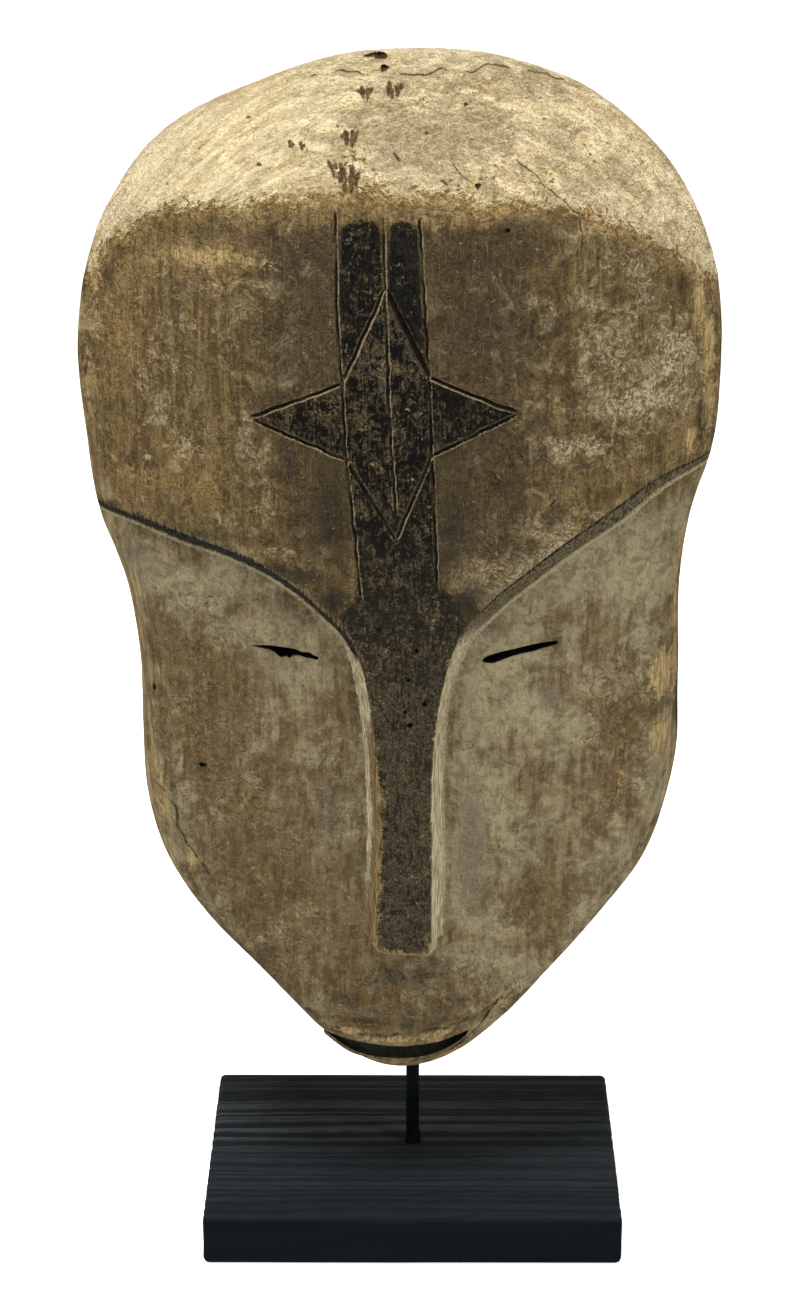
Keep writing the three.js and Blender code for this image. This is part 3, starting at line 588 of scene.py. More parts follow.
def front_points():
    """Points of the front: rows beside every carved line, then an even field between them."""
    openings = [left_eye, right_eye, mouth]
    rows = []
    for line, wide, _, lean, _ in cuts:
        rows += beside(line, [lean, -wide, wide, lean - 0.3, lean + 0.3, -wide - 0.4, wide + 0.4,
                              -wide - 0.9, wide + 0.9])
    for x, z, wide, high, *_ in PITS:
        across, up = np.meshgrid(*(np.arange(-half - 1, half + 1, 0.4) for half in (wide, high)))
        rows.append(np.column_stack([x + across.ravel(), z + up.ravel()]))
    fine_step = evenly(step_line, 0.8)
    width = bevel_width(*fine_step.T)
    rows += beside(fine_step, [0, width - 0.4, -0.5, 0.5, width + 0.5, -1.1, 1.1, width - 1.2,
                               width + 1.2, 0.5 * width, -1.9, width + 2.1, 0.3 * width + 0.4])
    for loop in openings:
        rows += beside(loop, [-0.45, -1.0, -1.8], closed=True)
    rows += beside(outline, [0.45, 1.1, 2.0, 3.2, 4.6, 6.3, 8.2], closed=True)
    crown_edge = smooth_line(FACE_EDGE, 1.6, closed=True)
    rows += beside(crown_edge, [0, -1.5, 1.5, -3.2, 3.2], closed=True)
    near, far = Taken(0.13), Taken(0.62)
    start = [outline] + [evenly(np.vstack([loop, loop[:1]]), 0.3) for loop in openings]
    picked = []
    for row in start + rows:
        row = row[(row[:, 1] > CHIN_Z - 5) & (row[:, 1] < CROWN_Z + 5) & (np.abs(row[:, 0]) < 140)]
        row = near.free(row)
        near.add(row)
        far.add(row)
        picked.append(row)
    picked = picked[len(start):]
    field = even_field(CHIN_Z, CROWN_Z, 1.55, lambda z: mix(1.34, 0.75, ease(446, 456, z)))
    points = np.vstack([*picked, far.free(field)])
    keep = inside(points, outline) & (nearest(points, outline, closed=True)[0] > 0.3)
    for loop in openings:
        keep &= ~inside(points, loop)
    return points[keep]


# The back was hollowed with a curved adze, which left shallow flutes, down to a solid chin. The
# wall stays thick enough to carry the relief, and its rim was sawn off flat and slanting.
FACE_WALL = 17
RIM_WIDTH = 14
SOLID_CHIN_TOP = 114
FLUTE_WIDTH = 12.5
FLUTE_LENGTH = 47
RIM_ROUND = 0.7  # how far the corners of the rim are worn down
TURNED_BACK = 80  # the finish value "turn" of all that faces back


def hollow_depth(points, loop):
    """The depth of the hollow's floor, with its flutes."""
    x, z = points.T
    gap = nearest(points, loop, closed=True)[0]
    share = np.clip(gap / mix(28, 54, ease(380, 460, z)), 0, 1)
    floor = blank_depth(x, z) + cheek_cut(x) * (1 - ease(290, 320, z)) + FACE_WALL
    depth = mix(rim_depth(z), floor, np.sqrt(1 - (1 - share) ** 2))
    stroke = np.floor(z / FLUTE_LENGTH + 0.35 * np.sin(x / 19))
    across = (x + 5 * np.sin(2.3 * stroke) + 3 * np.sin(z / 31)) / FLUTE_WIDTH
    flute = (2 * (across - np.floor(across)) - 1) ** 2
    ripple = 0.35 * np.sin(z / 7.3 + 4 * stroke) ** 2
    return depth + ease(0, 12, gap) * (0.9 * flute - 0.3 + ripple)


def carve_mask():
    """The vertices, triangles and finish values of the whole closed mask."""
    places, triangles, fields = [], [], []

    def add(points, depth, **finish):
        start = sum(len(p) for p in places)
        places.append(np.column_stack([points[:, 0], depth, points[:, 1]]))
        fields.append({name: np.broadcast_to(value, len(points)) for name, value in finish.items()})
        return start

    def bridge(first, second, count):
        i = np.arange(count)
        j = (i + 1) % count
        triangles.append(np.column_stack([first + i, first + j, second + j]))
        triangles.append(np.column_stack([first + i, second + j, second + i]))

    openings = [left_eye, right_eye, mouth]
    points, corners = fill([outline, *openings], front_points())
    depth, field = front(points)
    count = len(outline)
    depth[:count] = side_depth(outline[:, 1])
    finish = finish_of(points, field)
    add(points, depth, **finish)
    triangles.append(corners)
    # Side wall, from the front's edge to the rim, curving in a little
    inset = mix(2.5, 8, ease(430, 490, outline[:, 1]))
    rim_outer = beside(outline, [inset], closed=True)[0]
    edge = {name: finish[name][:count] for name in ("crown", "cheek", "soot")}
    last = 0
    for share in (0.035, 0.09, 0.17, 0.27, 0.38, 0.5, 0.62, 0.74, 0.85, 0.93, 0.975, 1):
        ring = mix(outline, rim_outer, share**2)
        depth = mix(side_depth(outline[:, 1]), rim_depth(rim_outer[:, 1]) - RIM_ROUND, share)
        side_crown = ease(372, 446, outline[:, 1] - 12 * share)
        side_crown = mix(-EDGE_REACH, EDGE_REACH, side_crown)
        row = add(ring, depth, hollow=0.35 * ease(0.8, 1, share),
                  turn=mix(EDGE_REACH, TURNED_BACK, share), cheek=edge["cheek"],
                  crown=mix(edge["crown"], side_crown, ease(0, 0.3, share)),
                  soot=edge["soot"] * (1 - share) ** 3, umber=0.4)
        bridge(last, row, count)
        last = row
    rim_inner = beside(rim_outer, [RIM_WIDTH], closed=True)[0]
    over = rim_inner[:, 1] - SOLID_CHIN_TOP
    rim_inner[:, 1] = SOLID_CHIN_TOP + (over + np.hypot(over, 20)) / 2 - 8
    for share in (0.06, 0.35, 0.65, 0.94):
        ring = mix(rim_outer, rim_inner, share)
        row = add(ring, rim_depth(ring[:, 1]), hollow=0.5, turn=TURNED_BACK, umber=0.5)
        bridge(last, row, count)
        last = row
    # The hollow, a little wider behind each eye than in front
    back_eyes = [
        eye.mean(axis=0) + (0, 3.2) + (eye - eye.mean(axis=0)) * (1.04, 1.05)
        for eye in (left_eye, right_eye)
    ]
    taken = Taken(1.2)
    taken.add(np.vstack([rim_inner, *back_eyes]))
    free = []
    for ring in beside(rim_inner, [1.6, 3.2, 5.2, 7.6], closed=True):
        ring = taken.free(ring[inside(ring, rim_inner)])
        taken.add(ring)
        free.append(ring)
    field = even_field(SOLID_CHIN_TOP - 20, CROWN_Z, 3.1, lambda z: 2.7)
    free = np.vstack([*free, taken.free(field[inside(field, rim_inner)])])
    points, corners = fill([rim_inner, *back_eyes], free)
    depth = hollow_depth(points, rim_inner)
    depth[:count] = rim_depth(rim_inner[:, 1]) - RIM_ROUND
    back = add(points, depth, hollow=1, turn=TURNED_BACK)
    bridge(last, back, count)
    triangles.append(back + corners[:, ::-1])
    # Walls of the eyes and the pocket of the mouth
    start, behind = count, back + count
    for eye, back_eye in zip((left_eye, right_eye), back_eyes):
        last = start
        ahead = places[0][start:start + len(eye), 1]
        rear = depth[behind - back:behind - back + len(eye)]
        for share in (0.06, 0.2, 0.5, 0.8):
            row = add(mix(eye, back_eye, share), mix(ahead, rear, share), hollow=0.9, cut=1.6)
            bridge(row, last, len(eye))
            last = row
        bridge(behind, last, len(eye))
        start += len(eye)
        behind += len(eye)
    last = start
    ahead = places[0][start:start + len(mouth), 1]
    pocket = np.maximum(ahead + 3, MOUTH_BACK_Y)
    for share in (0.08, 0.3, 0.6, 0.9, 1):
        ring = MOUTH_MIDDLE + (mouth - MOUTH_MIDDLE) * (1 - 0.04 * share, 1 - 0.22 * share**2)
        row = add(ring, mix(ahead, pocket, share), hollow=0.9, cut=1.15)
        bridge(row, last, len(mouth))
        last = row
    triangles.append(last + fill([ring], np.empty((0, 2)))[1])
    values = {}
    for name in finish:
        missing = -float(EDGE_REACH) if name in ("paint", "cheek", "crown", "turn") else 0.0
        values[name] = np.concatenate([
            field.get(name, np.full(len(field["hollow"]), missing)) for field in fields
        ])
    return np.vstack(places), np.vstack(triangles), values


def surface_normals(places, corners):
    """Which way the surface faces at each vertex."""
    a, b, c = (places[corners[:, k]] for k in range(3))
    flat = np.cross(b - a, c - a)
    normals = np.zeros_like(places)
    for k in range(3):
        np.add.at(normals, corners[:, k], flat)
    return normals / np.maximum(np.linalg.norm(normals, axis=1), 1e-12)[:, None]


def worn(places, crown):
    """How much the weathered skin is sunk at each vertex, in millimetres."""
    sunk = np.empty(len(places))
    rough = 0.05 + 0.2 * ease(-4, 6, crown)
    for i, (x, y, z) in enumerate(places):
        wave = noise.noise(Vector((x / 26, y / 26, z / 34)))
        ripple = noise.noise(Vector((x / 8, y / 8, z / 13 + 9)))
        grit = noise.fractal(Vector((x / 3.4, y / 3.4, z / 4.5)), 0.8, 2.1, 2)
        sunk[i] = 0.45 + 0.38 * wave + 0.12 * ripple + grit * rough[i]
    return np.clip(sunk, 0, None)


def stand_in_scene(name, data):
    """An object made from a mesh, a lamp or a camera, in the scene."""
    made = bpy.data.objects.new(name, data)
    bpy.context.collection.objects.link(made)
    return made


places, corners, values = carve_mask()
normals = surface_normals(places, corners)
places = places - normals * worn(places, values["crown"])[:, None]
places = np.clip(places, MASK_LOW + 0.005, MASK_HIGH - 0.005)

undrilled = bpy.data.meshes.new("mask_undrilled")
undrilled.from_pydata((places / 1000).tolist(), [], corners.tolist())
for name, value in values.items():
    attribute = undrilled.attributes.new(name, "FLOAT", "POINT")
    attribute.data.foreach_set("value", np.ascontiguousarray(value, dtype=np.float32))
undrilled.shade_smooth()
mask = stand_in_scene("mask_carved", undrilled)

# The blind hole that was drilled up into the chin for the rod
HOLE_RADIUS = 3.0
HOLE_TOP = 100.3
HOLE_SIDES = 40
ROD_Y = 2
turns = [2 * math.pi * k / HOLE_SIDES for k in range(HOLE_SIDES)]
drill_mesh = bpy.data.meshes.new("chin_drill")
drill_mesh.from_pydata(
    [(HOLE_RADIUS * math.cos(a) / 1000, (ROD_Y + HOLE_RADIUS * math.sin(a)) / 1000, z / 1000)
     for z in (CHIN_Z - 10, HOLE_TOP) for a in turns], [],
    [tuple(range(HOLE_SIDES))[::-1], tuple(range(HOLE_SIDES, 2 * HOLE_SIDES))]
    + [(k, (k + 1) % HOLE_SIDES, HOLE_SIDES + (k + 1) % HOLE_SIDES, HOLE_SIDES + k)
       for k in range(HOLE_SIDES)])
drill = stand_in_scene("chin_drill", drill_mesh)
drilling = mask.modifiers.new("drilling", "BOOLEAN")
drilling.operation = "DIFFERENCE"
drilling.solver = "EXACT"
drilling.object = drill
seen_by = bpy.context.evaluated_depsgraph_get()
mask_mesh = bpy.data.meshes.new_from_object(mask.evaluated_get(seen_by), depsgraph=seen_by)
mask.modifiers.remove(drilling)
bpy.data.objects.remove(drill)
mask.data = mask_mesh
bpy.data.meshes.remove(undrilled)
mask_mesh.name = "mask_carved"
mask_mesh.materials.clear()
mask_mesh.polygons.foreach_set("material_index", [0] * len(mask_mesh.polygons))
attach(mask, "root")
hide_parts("mask")


# The finish of the mask: dry, dull wood under rubbed clay, brown patina and black pigment. The
# grain runs up the face, and the light crown shows lines that follow its arch.
class Finish:
    """A socket of a material. Arithmetic on it adds Math nodes, and node() adds any other node."""

    def __init__(self, tree, socket=None):
        self.tree = tree
        self.socket = socket

    def node(self, kind, values, output=0, **settings):
        made = self.tree.nodes.new(kind)
        for name, value in settings.items():
            setattr(made, name, value)
        for name, value in dict(values).items():
            if isinstance(value, Finish):
                self.tree.links.new(value.socket, made.inputs[name])
            else:
                made.inputs[name].default_value = value
        return Finish(self.tree, made.outputs[output])

    def feed(self, node, name):
        """Link this socket to another node's input."""
        self.tree.links.new(self.socket, node.inputs[name])

    def math(self, operation, *values):
        return self.node("ShaderNodeMath", enumerate(values), operation=operation)

    def __add__(self, other):
        return self.math("ADD", self, other)

    def __sub__(self, other):
        return self.math("SUBTRACT", self, other)

    def __rsub__(self, other):
        return self.math("SUBTRACT", other, self)

    def __mul__(self, other):
        return self.math("MULTIPLY", self, other)

    def __truediv__(self, other):
        return self.math("DIVIDE", self, other)

    def __abs__(self):
        return self.math("ABSOLUTE", self)

    __radd__ = __add__
    __rmul__ = __mul__

    def larger(self, other):
        return self.math("MAXIMUM", self, other)

    def between(self, low, high):
        """0 below low, 1 above high, and a soft rise between; low may be the higher one."""
        return self.node("ShaderNodeMapRange", {"Value": self, "From Min": low, "From Max": high},
                         interpolation_type="SMOOTHSTEP")

    def swing(self, much):
        """How far a pattern is above or below its middle, that many times."""
        return (self - 0.5) * much

    def line(self, outside, inside=0.0):
        """A thin line where a pattern passes its middle."""
        return abs(self - 0.5).between(outside, inside)

    def value(self, name):
        return self.node("ShaderNodeAttribute", {}, output=2, attribute_name=name)

    def place(self, *stretch):
        """The place on the piece in millimetres, stretched along each axis."""
        coords = self.node("ShaderNodeTexCoord", {}, output=3)
        size = tuple(1000 * k for k in stretch)
        return self.node("ShaderNodeVectorMath", {0: coords, 1: size}, operation="MULTIPLY")

    def vector(self, x, y, z):
        return self.node("ShaderNodeCombineXYZ", {0: x, 1: y, 2: z})

    def part(self, k):
        """The part of a vector along x (0), y (1) or z (2)."""
        return self.node("ShaderNodeSeparateXYZ", {0: self}, output=k)

    def noise(self, place, scale=1.0, detail=2.0, rough=0.5, twist=0.0):
        return self.node("ShaderNodeTexNoise", {
            "Vector": place, "Scale": scale, "Detail": detail, "Roughness": rough,
            "Distortion": twist,
        })

    def blend(self, share, first, second):
        """A colour between two colours, where three numbers are a colour from 0 to 255."""
        first, second = (
            tone(*c) if isinstance(c, tuple) and len(c) == 3 else c for c in (first, second))
        return self.node("ShaderNodeMix", {0: share, 6: first, 7: second}, output=2,
                         data_type="RGBA")

    def under(self, *coats):
        """This colour under coats, each with how much of it lies there and its tone."""
        colour = self
        for share, coat in coats:
            colour = self.blend(share, colour, coat)
        return colour


def tone(red, green, blue):
    """A colour in Blender's linear values, from the usual 0 to 255."""
    part = [c / 255 for c in (red, green, blue)]
    return (*((c / 12.92 if c < 0.04045 else ((c + 0.055) / 1.055) ** 2.4) for c in part), 1)


def new_finish(name):
    """A material, the class above on its nodes, and its shader."""
    material = bpy.data.materials.new(name)
    material.use_nodes = True
    return material, Finish(material.node_tree), material.node_tree.nodes["Principled BSDF"]


carved_wood, wood, shader = new_finish("carved_wood")
place = wood.place(1, 1, 1)
# Patterns in millimetres, from wide clouds to fine specks, and then streaks along the grain
broad = wood.noise(place, 1 / 36, 3)
cloud = wood.noise(place, 1 / 13, 4, 0.6, 0.8)
patchy = wood.noise(place, 1 / 7, 4, 0.68, 1.0)
mottle = wood.noise(place, 1 / 5, 3, 0.6, 1.6)
small = wood.noise(place, 1 / 2.3, 2, 0.6, 1.6)
streak = wood.noise(wood.place(0.36, 0.36, 0.035), 1, 4, 0.62)
fibre = wood.noise(wood.place(1.2, 1.2, 0.12), 1, 3, 0.6)
flake = wood.noise(wood.place(0.16, 0.16, 0.26), 1, 3, 0.62, 1.4)
stain = wood.noise(place, 1 / 9, 3, 0.55, 1.8)
# Thin wandering lines: edges of old stains, dark squiggles, pale threads, and curls in the clay
stain_edge = stain.line(0.034, 0.004)
squiggle = wood.noise(place, 1 / 4.6, 1.5, 0.5, 2.6).line(0.045)
thread = wood.noise(place, 1 / 3.2, 1.5, 0.5, 2.8).line(0.06)
curls = wood.math("SINE", wood.noise(place, 1 / 9, 2.5, 0.55, 1.2) * 55.0) * 0.5 + 0.5
# The arch lines of the crown run round a point behind the forehead
from_arch = wood.node("ShaderNodeVectorMath", {0: place, 1: (4, 0, -350)}, operation="ADD")
across, up = from_arch.part(0), from_arch.part(2)
radius = wood.math("SQRT", across * across + up * up)
angle = wood.math("ARCTAN2", up, across)
arch_lines = wood.noise(wood.vector(radius * 0.3, angle * 5.0, 0.0), 1, 4, 0.6, 0.8)
arch_hair = wood.noise(wood.vector(radius * 0.9, angle * 8.0, 0.0), 1, 3, 0.6)

(paint, cover, cheek, crown, turn, cream, torn, charcoal, worn_edge_highlight, chalk, umber, soot, grime, pale,
 cut, lip, lit_wall, hollow, dusk) = (wood.value(name) for name in (
    "paint", "cover", "cheek", "crown", "turn", "cream", "torn", "charcoal", "worn_edge_highlight", "chalk",
    "umber", "soot", "grime", "pale", "cut", "lip", "lit_wall", "hollow", "dusk"))

# Forehead: warm brown wood, faintly streaked, blotched with stains and thin rubbed clay, and dusky
# beside the painted strip
clay_here = chalk * 0.8 + cloud.swing(3.0) + broad.swing(1.6) + mottle.swing(1.0)
chalky = (chalk + patchy.swing(4.0)).between(0.6, 1.1)
dusky = (dusk * 1.1 + cloud.swing(-1.6) + patchy.swing(1.0)).between(0.25, 1.0)
clay_tan = wood.blend(mottle.between(0.42, 0.58), (120, 106, 78), (164, 148, 113))
dusk_tone = wood.blend((mottle * 0.5 + curls * 0.12).between(0.2, 0.42), (43, 36, 25), (75, 64, 45))
brown = wood.blend(streak.between(0.4, 0.6), (82, 67, 42), (115, 97, 63)).under(
    (cloud.between(0.48, 0.38) * 0.5, (68, 54, 35)),
    (umber * cloud.between(0.4, 0.55) * 0.8, (131, 106, 64)),
    (mottle.between(0.54, 0.64) * 0.5, (138, 120, 86)),
    (clay_here.between(0.15, 0.75) * 0.74, clay_tan),
    (curls.between(0.45, 0.05) * mottle.between(0.42, 0.54) * 0.45, (66, 52, 34)),
    (chalky * curls.between(0.4, 0.0) * 0.45, (82, 66, 42)),
    (chalky * curls.between(0.5, 0.95) * 0.6, (180, 165, 130)),
    (chalky * (thread * 0.7 + small.between(0.54, 0.64) * 0.4), (204, 191, 160)),
    (stain_edge * cloud.between(0.42, 0.5) * 0.75, (58, 43, 27)),
    (squiggle * mottle.between(0.58, 0.46) * 0.6, (58, 45, 28)),
    (thread * mottle.between(0.46, 0.56) * 0.35, (150, 134, 100)),
    (dusky * 0.86, dusk_tone),
    (small.between(0.43, 0.36) * 0.35, (56, 44, 28)),
    (fibre.between(0.56, 0.68) * (0.1 + 0.3 * umber), (156, 134, 92)),
    (fibre.between(0.44, 0.34) * (0.2 + 0.2 * umber), (64, 50, 31)),
)
# Cheeks: greyer, with more clay left on them
face_clay = wood.blend(patchy.between(0.38, 0.6), (118, 107, 81), (149, 138, 108)).under(
    (small.between(0.5, 0.62) * 0.2, (164, 154, 126)))
clay_here = chalk * 0.9 + broad.swing(1.6) + cloud.swing(2.6) + streak.swing(1.0)
grey = grime + fibre.swing(2.0) + patchy.swing(2.0)
face = wood.blend((streak * 0.5 + patchy * 0.5).between(0.43, 0.57), (83, 69, 46), (113, 98, 70))
face = face.under(
    (umber * patchy.between(0.42, 0.54), (102, 80, 48)),
    (clay_here.between(-0.1, 0.8) * 0.9, face_clay),
    (grey.between(0.35, 0.8) * 0.75, (99, 92, 78)),
    (umber * stain.between(0.5, 0.56) * 0.5, (76, 59, 36)),
    (stain_edge * (umber + cloud - 0.3).between(0.2, 0.6) * 0.8, (64, 50, 31)),
    (curls.between(0.35, 0.0) * (umber + mottle).between(0.45, 0.8) * 0.3, (78, 64, 43)),
    (curls.between(0.65, 1.0) * mottle.between(0.48, 0.6) * 0.25, (154, 142, 112)),
    (squiggle * cloud.between(0.56, 0.46) * 0.42, (76, 63, 44)),
    (small.between(0.43, 0.36) * 0.22, (76, 65, 46)),
    (fibre.between(0.43, 0.36) * 0.25, (74, 61, 42)),
    (thread * mottle.between(0.5, 0.6) * 0.3, (158, 147, 118)),
)
# The turned sides are rubbed and yellower, and the edge has lost its brown in patches
side_wood = wood.blend(streak.between(0.4, 0.6), (126, 107, 73), (176, 155, 112)).under(
    (squiggle * 0.35, (84, 66, 42)))
bare_wood = wood.blend(fibre.between(0.42, 0.58), (138, 115, 73), (176, 153, 108))
# Crown: cream and flaking, with fine arch lines and grey dirt, and torn fibres along the ridge
smooth_side = across.between(-18, -62)
dirt = grime * 0.7 + cloud.swing(2.4) + small.swing(0.6) - 0.25 * smooth_side
dirt = dirt.between(0.05, 0.55)
dirt_tone = wood.blend(mottle.between(0.4, 0.6), (106, 92, 66), (144, 129, 97))
bare = wood.blend(arch_lines.between(0.4, 0.6), (164, 144, 104), (198, 181, 142)).under(
    (broad.between(0.42, 0.58) * 0.4, (178, 165, 134)),
    (arch_hair.between(0.52, 0.64) * 0.35, (134, 114, 79)),
    (flake.between(0.5, 0.52) * (0.32 - 0.18 * smooth_side), (206, 192, 155)),
    (flake.line(0.014) * (0.6 - 0.45 * smooth_side), (96, 80, 55)),
    (dirt * 0.7, dirt_tone),
    (curls.between(0.3, 0.0) * dirt * 0.35, (92, 76, 52)),
    (squiggle * (0.42 - 0.26 * smooth_side), (104, 87, 60)),
    (thread * mottle.between(0.46, 0.56) * 0.26, (218, 206, 172)),
)
frayed = crown + mottle.swing(16) + fibre.swing(8) + cloud.swing(14)
frayed = frayed + turn.between(6, 16) * (streak.swing(60) + broad.swing(40))
ridge = wood.blend(small.between(0.42, 0.58), (92, 72, 42), (150, 126, 80)).under(
    (squiggle * 0.6, (60, 46, 28)))
# Black pigment, worn through to brown wood in patches, and thin all over the nose
on_nose = up.between(-10, -95)
worn_wood = wood.blend(small.between(0.42, 0.6), (40, 34, 25), (67, 57, 40)).under(
    (on_nose * 0.6, (63, 56, 43)))
worn_through = 1 - cover + patchy.swing(1.3) + mottle.swing(1.5) + fibre.swing(1.4)
pigment = wood.blend(mottle.between(0.42, 0.6), (10, 11, 11), (27, 25, 20)).under(
    (on_nose * 0.6, (46, 42, 33)),
    (worn_through.between(0.3, 0.66) * 0.8, worn_wood),
    (thread * (worn_through + 0.2).between(0.4, 0.65) * 0.5, (112, 99, 73)),
    (squiggle * 0.5, (17, 16, 15)),
    (curls.between(0.75, 1.0) * (worn_through + 0.1).between(0.35, 0.6) * 0.4, (96, 84, 61)),
    (small.between(0.42, 0.34) * 0.7, (12, 12, 11)),
)
black = (paint + (mottle.swing(7.0) + small.swing(4.0))).between(-1.0, 0.8)
# Facets of the nose and brows, torn wood above them, and the painted highlight along the worn edges
# beside them
torn_wood = wood.blend(fibre.between(0.44, 0.58), (92, 74, 46), (140, 120, 80))
facet_cream = wood.blend(fibre.between(0.42, 0.6), (138, 124, 92), (192, 181, 149))
facet_dark = wood.blend(charcoal.between(0.65, 0.95),
                        wood.blend(fibre.between(0.42, 0.56), (46, 41, 31), (100, 90, 68)),
                        wood.blend(fibre.between(0.44, 0.62), (24, 23, 21), (58, 54, 44)))
# Knife cuts and holes are dark inside, and broken fibres stand in the crown's knots
tuft = wood.blend(fibre.between(0.38, 0.6), (34, 25, 14), (92, 70, 40))
deep_tone = wood.blend(cut.between(0.45, 0.75), (64, 50, 32), (14, 12, 9)).under(
    (crown.between(-2, 2) * cut.between(1.5, 1.1), tuft))
# The hollow is raw wood gone brown with age, and the mouth and the eyes are dark inside
raw_wood = wood.blend(streak.between(0.4, 0.6), (70, 52, 33), (112, 88, 58)).under(
    (mottle.between(0.5, 0.62) * 0.5, (60, 47, 33)))
rim_wood = wood.blend(streak.between(0.4, 0.6), (98, 78, 50), (142, 120, 84))
mouth_tone = wood.blend(streak.between(0.4, 0.6), (36, 36, 30), (45, 45, 38))
inner = wood.blend(hollow.between(0.45, 0.75), rim_wood, raw_wood).under(
    (cut.between(0.7, 1.0), mouth_tone),
    (cut.between(1.3, 1.5), (16, 14, 12)),
)
# All of it together, from the wood up
skin = wood.blend(cheek.between(-0.3, 0.6), brown, face).under(
    ((turn + cloud.swing(26)).between(4, 14) * 0.65, side_wood),
    ((pale + patchy.swing(2.0) + small.swing(0.8)).between(0.3, 0.75) * 0.8, bare_wood),
    (frayed.between(-4.5, -0.5) * 0.75, ridge),
    (frayed.between(0.5, 4.0), bare),
    (black * 0.97, pigment),
    ((soot + mottle.swing(1.8) + small.swing(0.9)).between(0.05, 0.95) * 0.85, (32, 30, 25)),
    ((torn * 1.1 + small.swing(2.4) + patchy.swing(2.4)).between(0.45, 0.8) * 0.85, torn_wood),
    ((cream * 1.4 + small.swing(1.6)).between(0.3, 0.85), facet_cream),
    ((charcoal * 1.3 + small.swing(1.6)).between(0.2, 0.8), facet_dark),
    # Painted highlight along the worn edges under the brows and at the foot of the nose
    ((worn_edge_highlight + small.swing(1.4)).between(0.15, 0.85) * 0.8, (164, 152, 120)),
    ((lip + small.swing(2.4)).between(0.5, 1.2) * 0.35, (146, 132, 102)),
    ((cut + small.swing(0.9)).between(0.3, 0.8) * 0.92, deep_tone),
    # Painted highlight on the walls of the knife lines that face the light
    ((lit_wall + small.swing(1.2)).between(0.2, 0.75) * 0.8, (146, 131, 99)),
    (hollow.between(0.25, 0.45), inner),
)
skin.feed(shader, "Base Color")
(0.96 - 0.14 * fibre).feed(shader, "Roughness")
shader.inputs["Specular IOR Level"].default_value = 0.04
relief = fibre * 0.4 + mottle + small
on_crown = arch_hair * 0.9 + flake.between(0.5, 0.53) * 0.35 + small * 0.6
relief = relief + crown.between(-2, 3) * on_crown
bump = wood.node("ShaderNodeBump", {"Strength": 1.0, "Distance": 0.0012, "Height": relief})
bump.feed(shader, "Normal")
mask_mesh.materials.append(carved_wood)


# The rod: a plain round steel rod, painted black with the block, pressed into the chin from below
# and set in a blind hole in the block. Paint has gathered in an uneven collar at its foot.
ROD_RADIUS = 2.7
ROD_FOOT = 7.0
ROD_TOP = 100
ROD_SIDES = 48
CHAMFER = 0.5
COLLAR_FROM = 22.3
COLLAR_HIGH = 6.4
COLLAR_RADIUS = 3.55


def turn_rod():
    """The rod's points and faces: rings from its foot to its top, closer at the collar."""
    collar_end = COLLAR_FROM + COLLAR_HIGH + 2
    heights = np.unique(np.round(np.concatenate([
        [ROD_FOOT, ROD_FOOT + 0.4], np.arange(ROD_FOOT + 1, COLLAR_FROM, 1.2),
        np.arange(COLLAR_FROM, collar_end, 0.35), np.arange(collar_end, ROD_TOP - 1, 1.0),
        [ROD_TOP - 0.5, ROD_TOP],
    ]), 2))
    points = []
    for z in heights:
        chamfer = CHAMFER * (z in (heights[0], heights[-1]))
        rise = (z - COLLAR_FROM) / COLLAR_HIGH
        for k in range(ROD_SIDES):
            angle = 2 * math.pi * k / ROD_SIDES
            uneven = noise.noise(Vector((math.cos(angle), math.sin(angle), z / 9)))
            collar = 0.0
            if rise >= 0:
                top = 0.8 + 0.3 * math.cos(angle - 0.3)
                collar = 0.5 * float(1 - ease(top - 0.7, top, rise)) + 0.18 * math.exp(-rise * 9)
            skin = 0.035 * noise.noise(Vector((4 * math.cos(angle), 4 * math.sin(angle), z / 3)))
            r = ROD_RADIUS + 0.12 - chamfer + collar * (1 + 0.25 * uneven) + skin
            r = min(r, COLLAR_RADIUS)
            points.append((r * math.cos(angle), ROD_Y + r * math.sin(angle), z))
    faces = []
    for ring in range(len(heights) - 1):
        for k in range(ROD_SIDES):
            a, b = ring * ROD_SIDES + k, ring * ROD_SIDES + (k + 1) % ROD_SIDES
            faces.append((a, b, b + ROD_SIDES, a + ROD_SIDES))
    faces.append(tuple(range(ROD_SIDES))[::-1])
    faces.append(tuple(range(len(points) - ROD_SIDES, len(points))))
    return points, faces


points, faces = turn_rod()
rod_mesh = bpy.data.meshes.new("rod_painted")
rod_mesh.from_pydata([(x / 1000, y / 1000, z / 1000) for x, y, z in points], [], faces)
rod_mesh.shade_smooth()
rod = stand_in_scene("rod_painted", rod_mesh)

black_paint, brush, shader = new_finish("black_paint")
dust = brush.noise(brush.place(1, 1, 1), 1 / 6, 4, 0.6)
strokes = brush.noise(brush.place(2.2, 2.2, 0.25), 1, 3)
colour = brush.blend(dust.between(0.45, 0.65) * 0.6, (0.0012, 0.0024, 0.0030, 1),
                     (0.0050, 0.0062, 0.0068, 1))
colour.feed(shader, "Base Color")
(0.32 + 0.4 * dust).feed(shader, "Roughness")
shader.inputs["Specular IOR Level"].default_value = 0.05
bump = brush.node("ShaderNodeBump", {"Strength": 0.5, "Distance": 0.0001, "Height": strokes + dust})
bump.feed(shader, "Normal")
rod_mesh.materials.append(black_paint)
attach(rod, "root")
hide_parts("stand_rod")


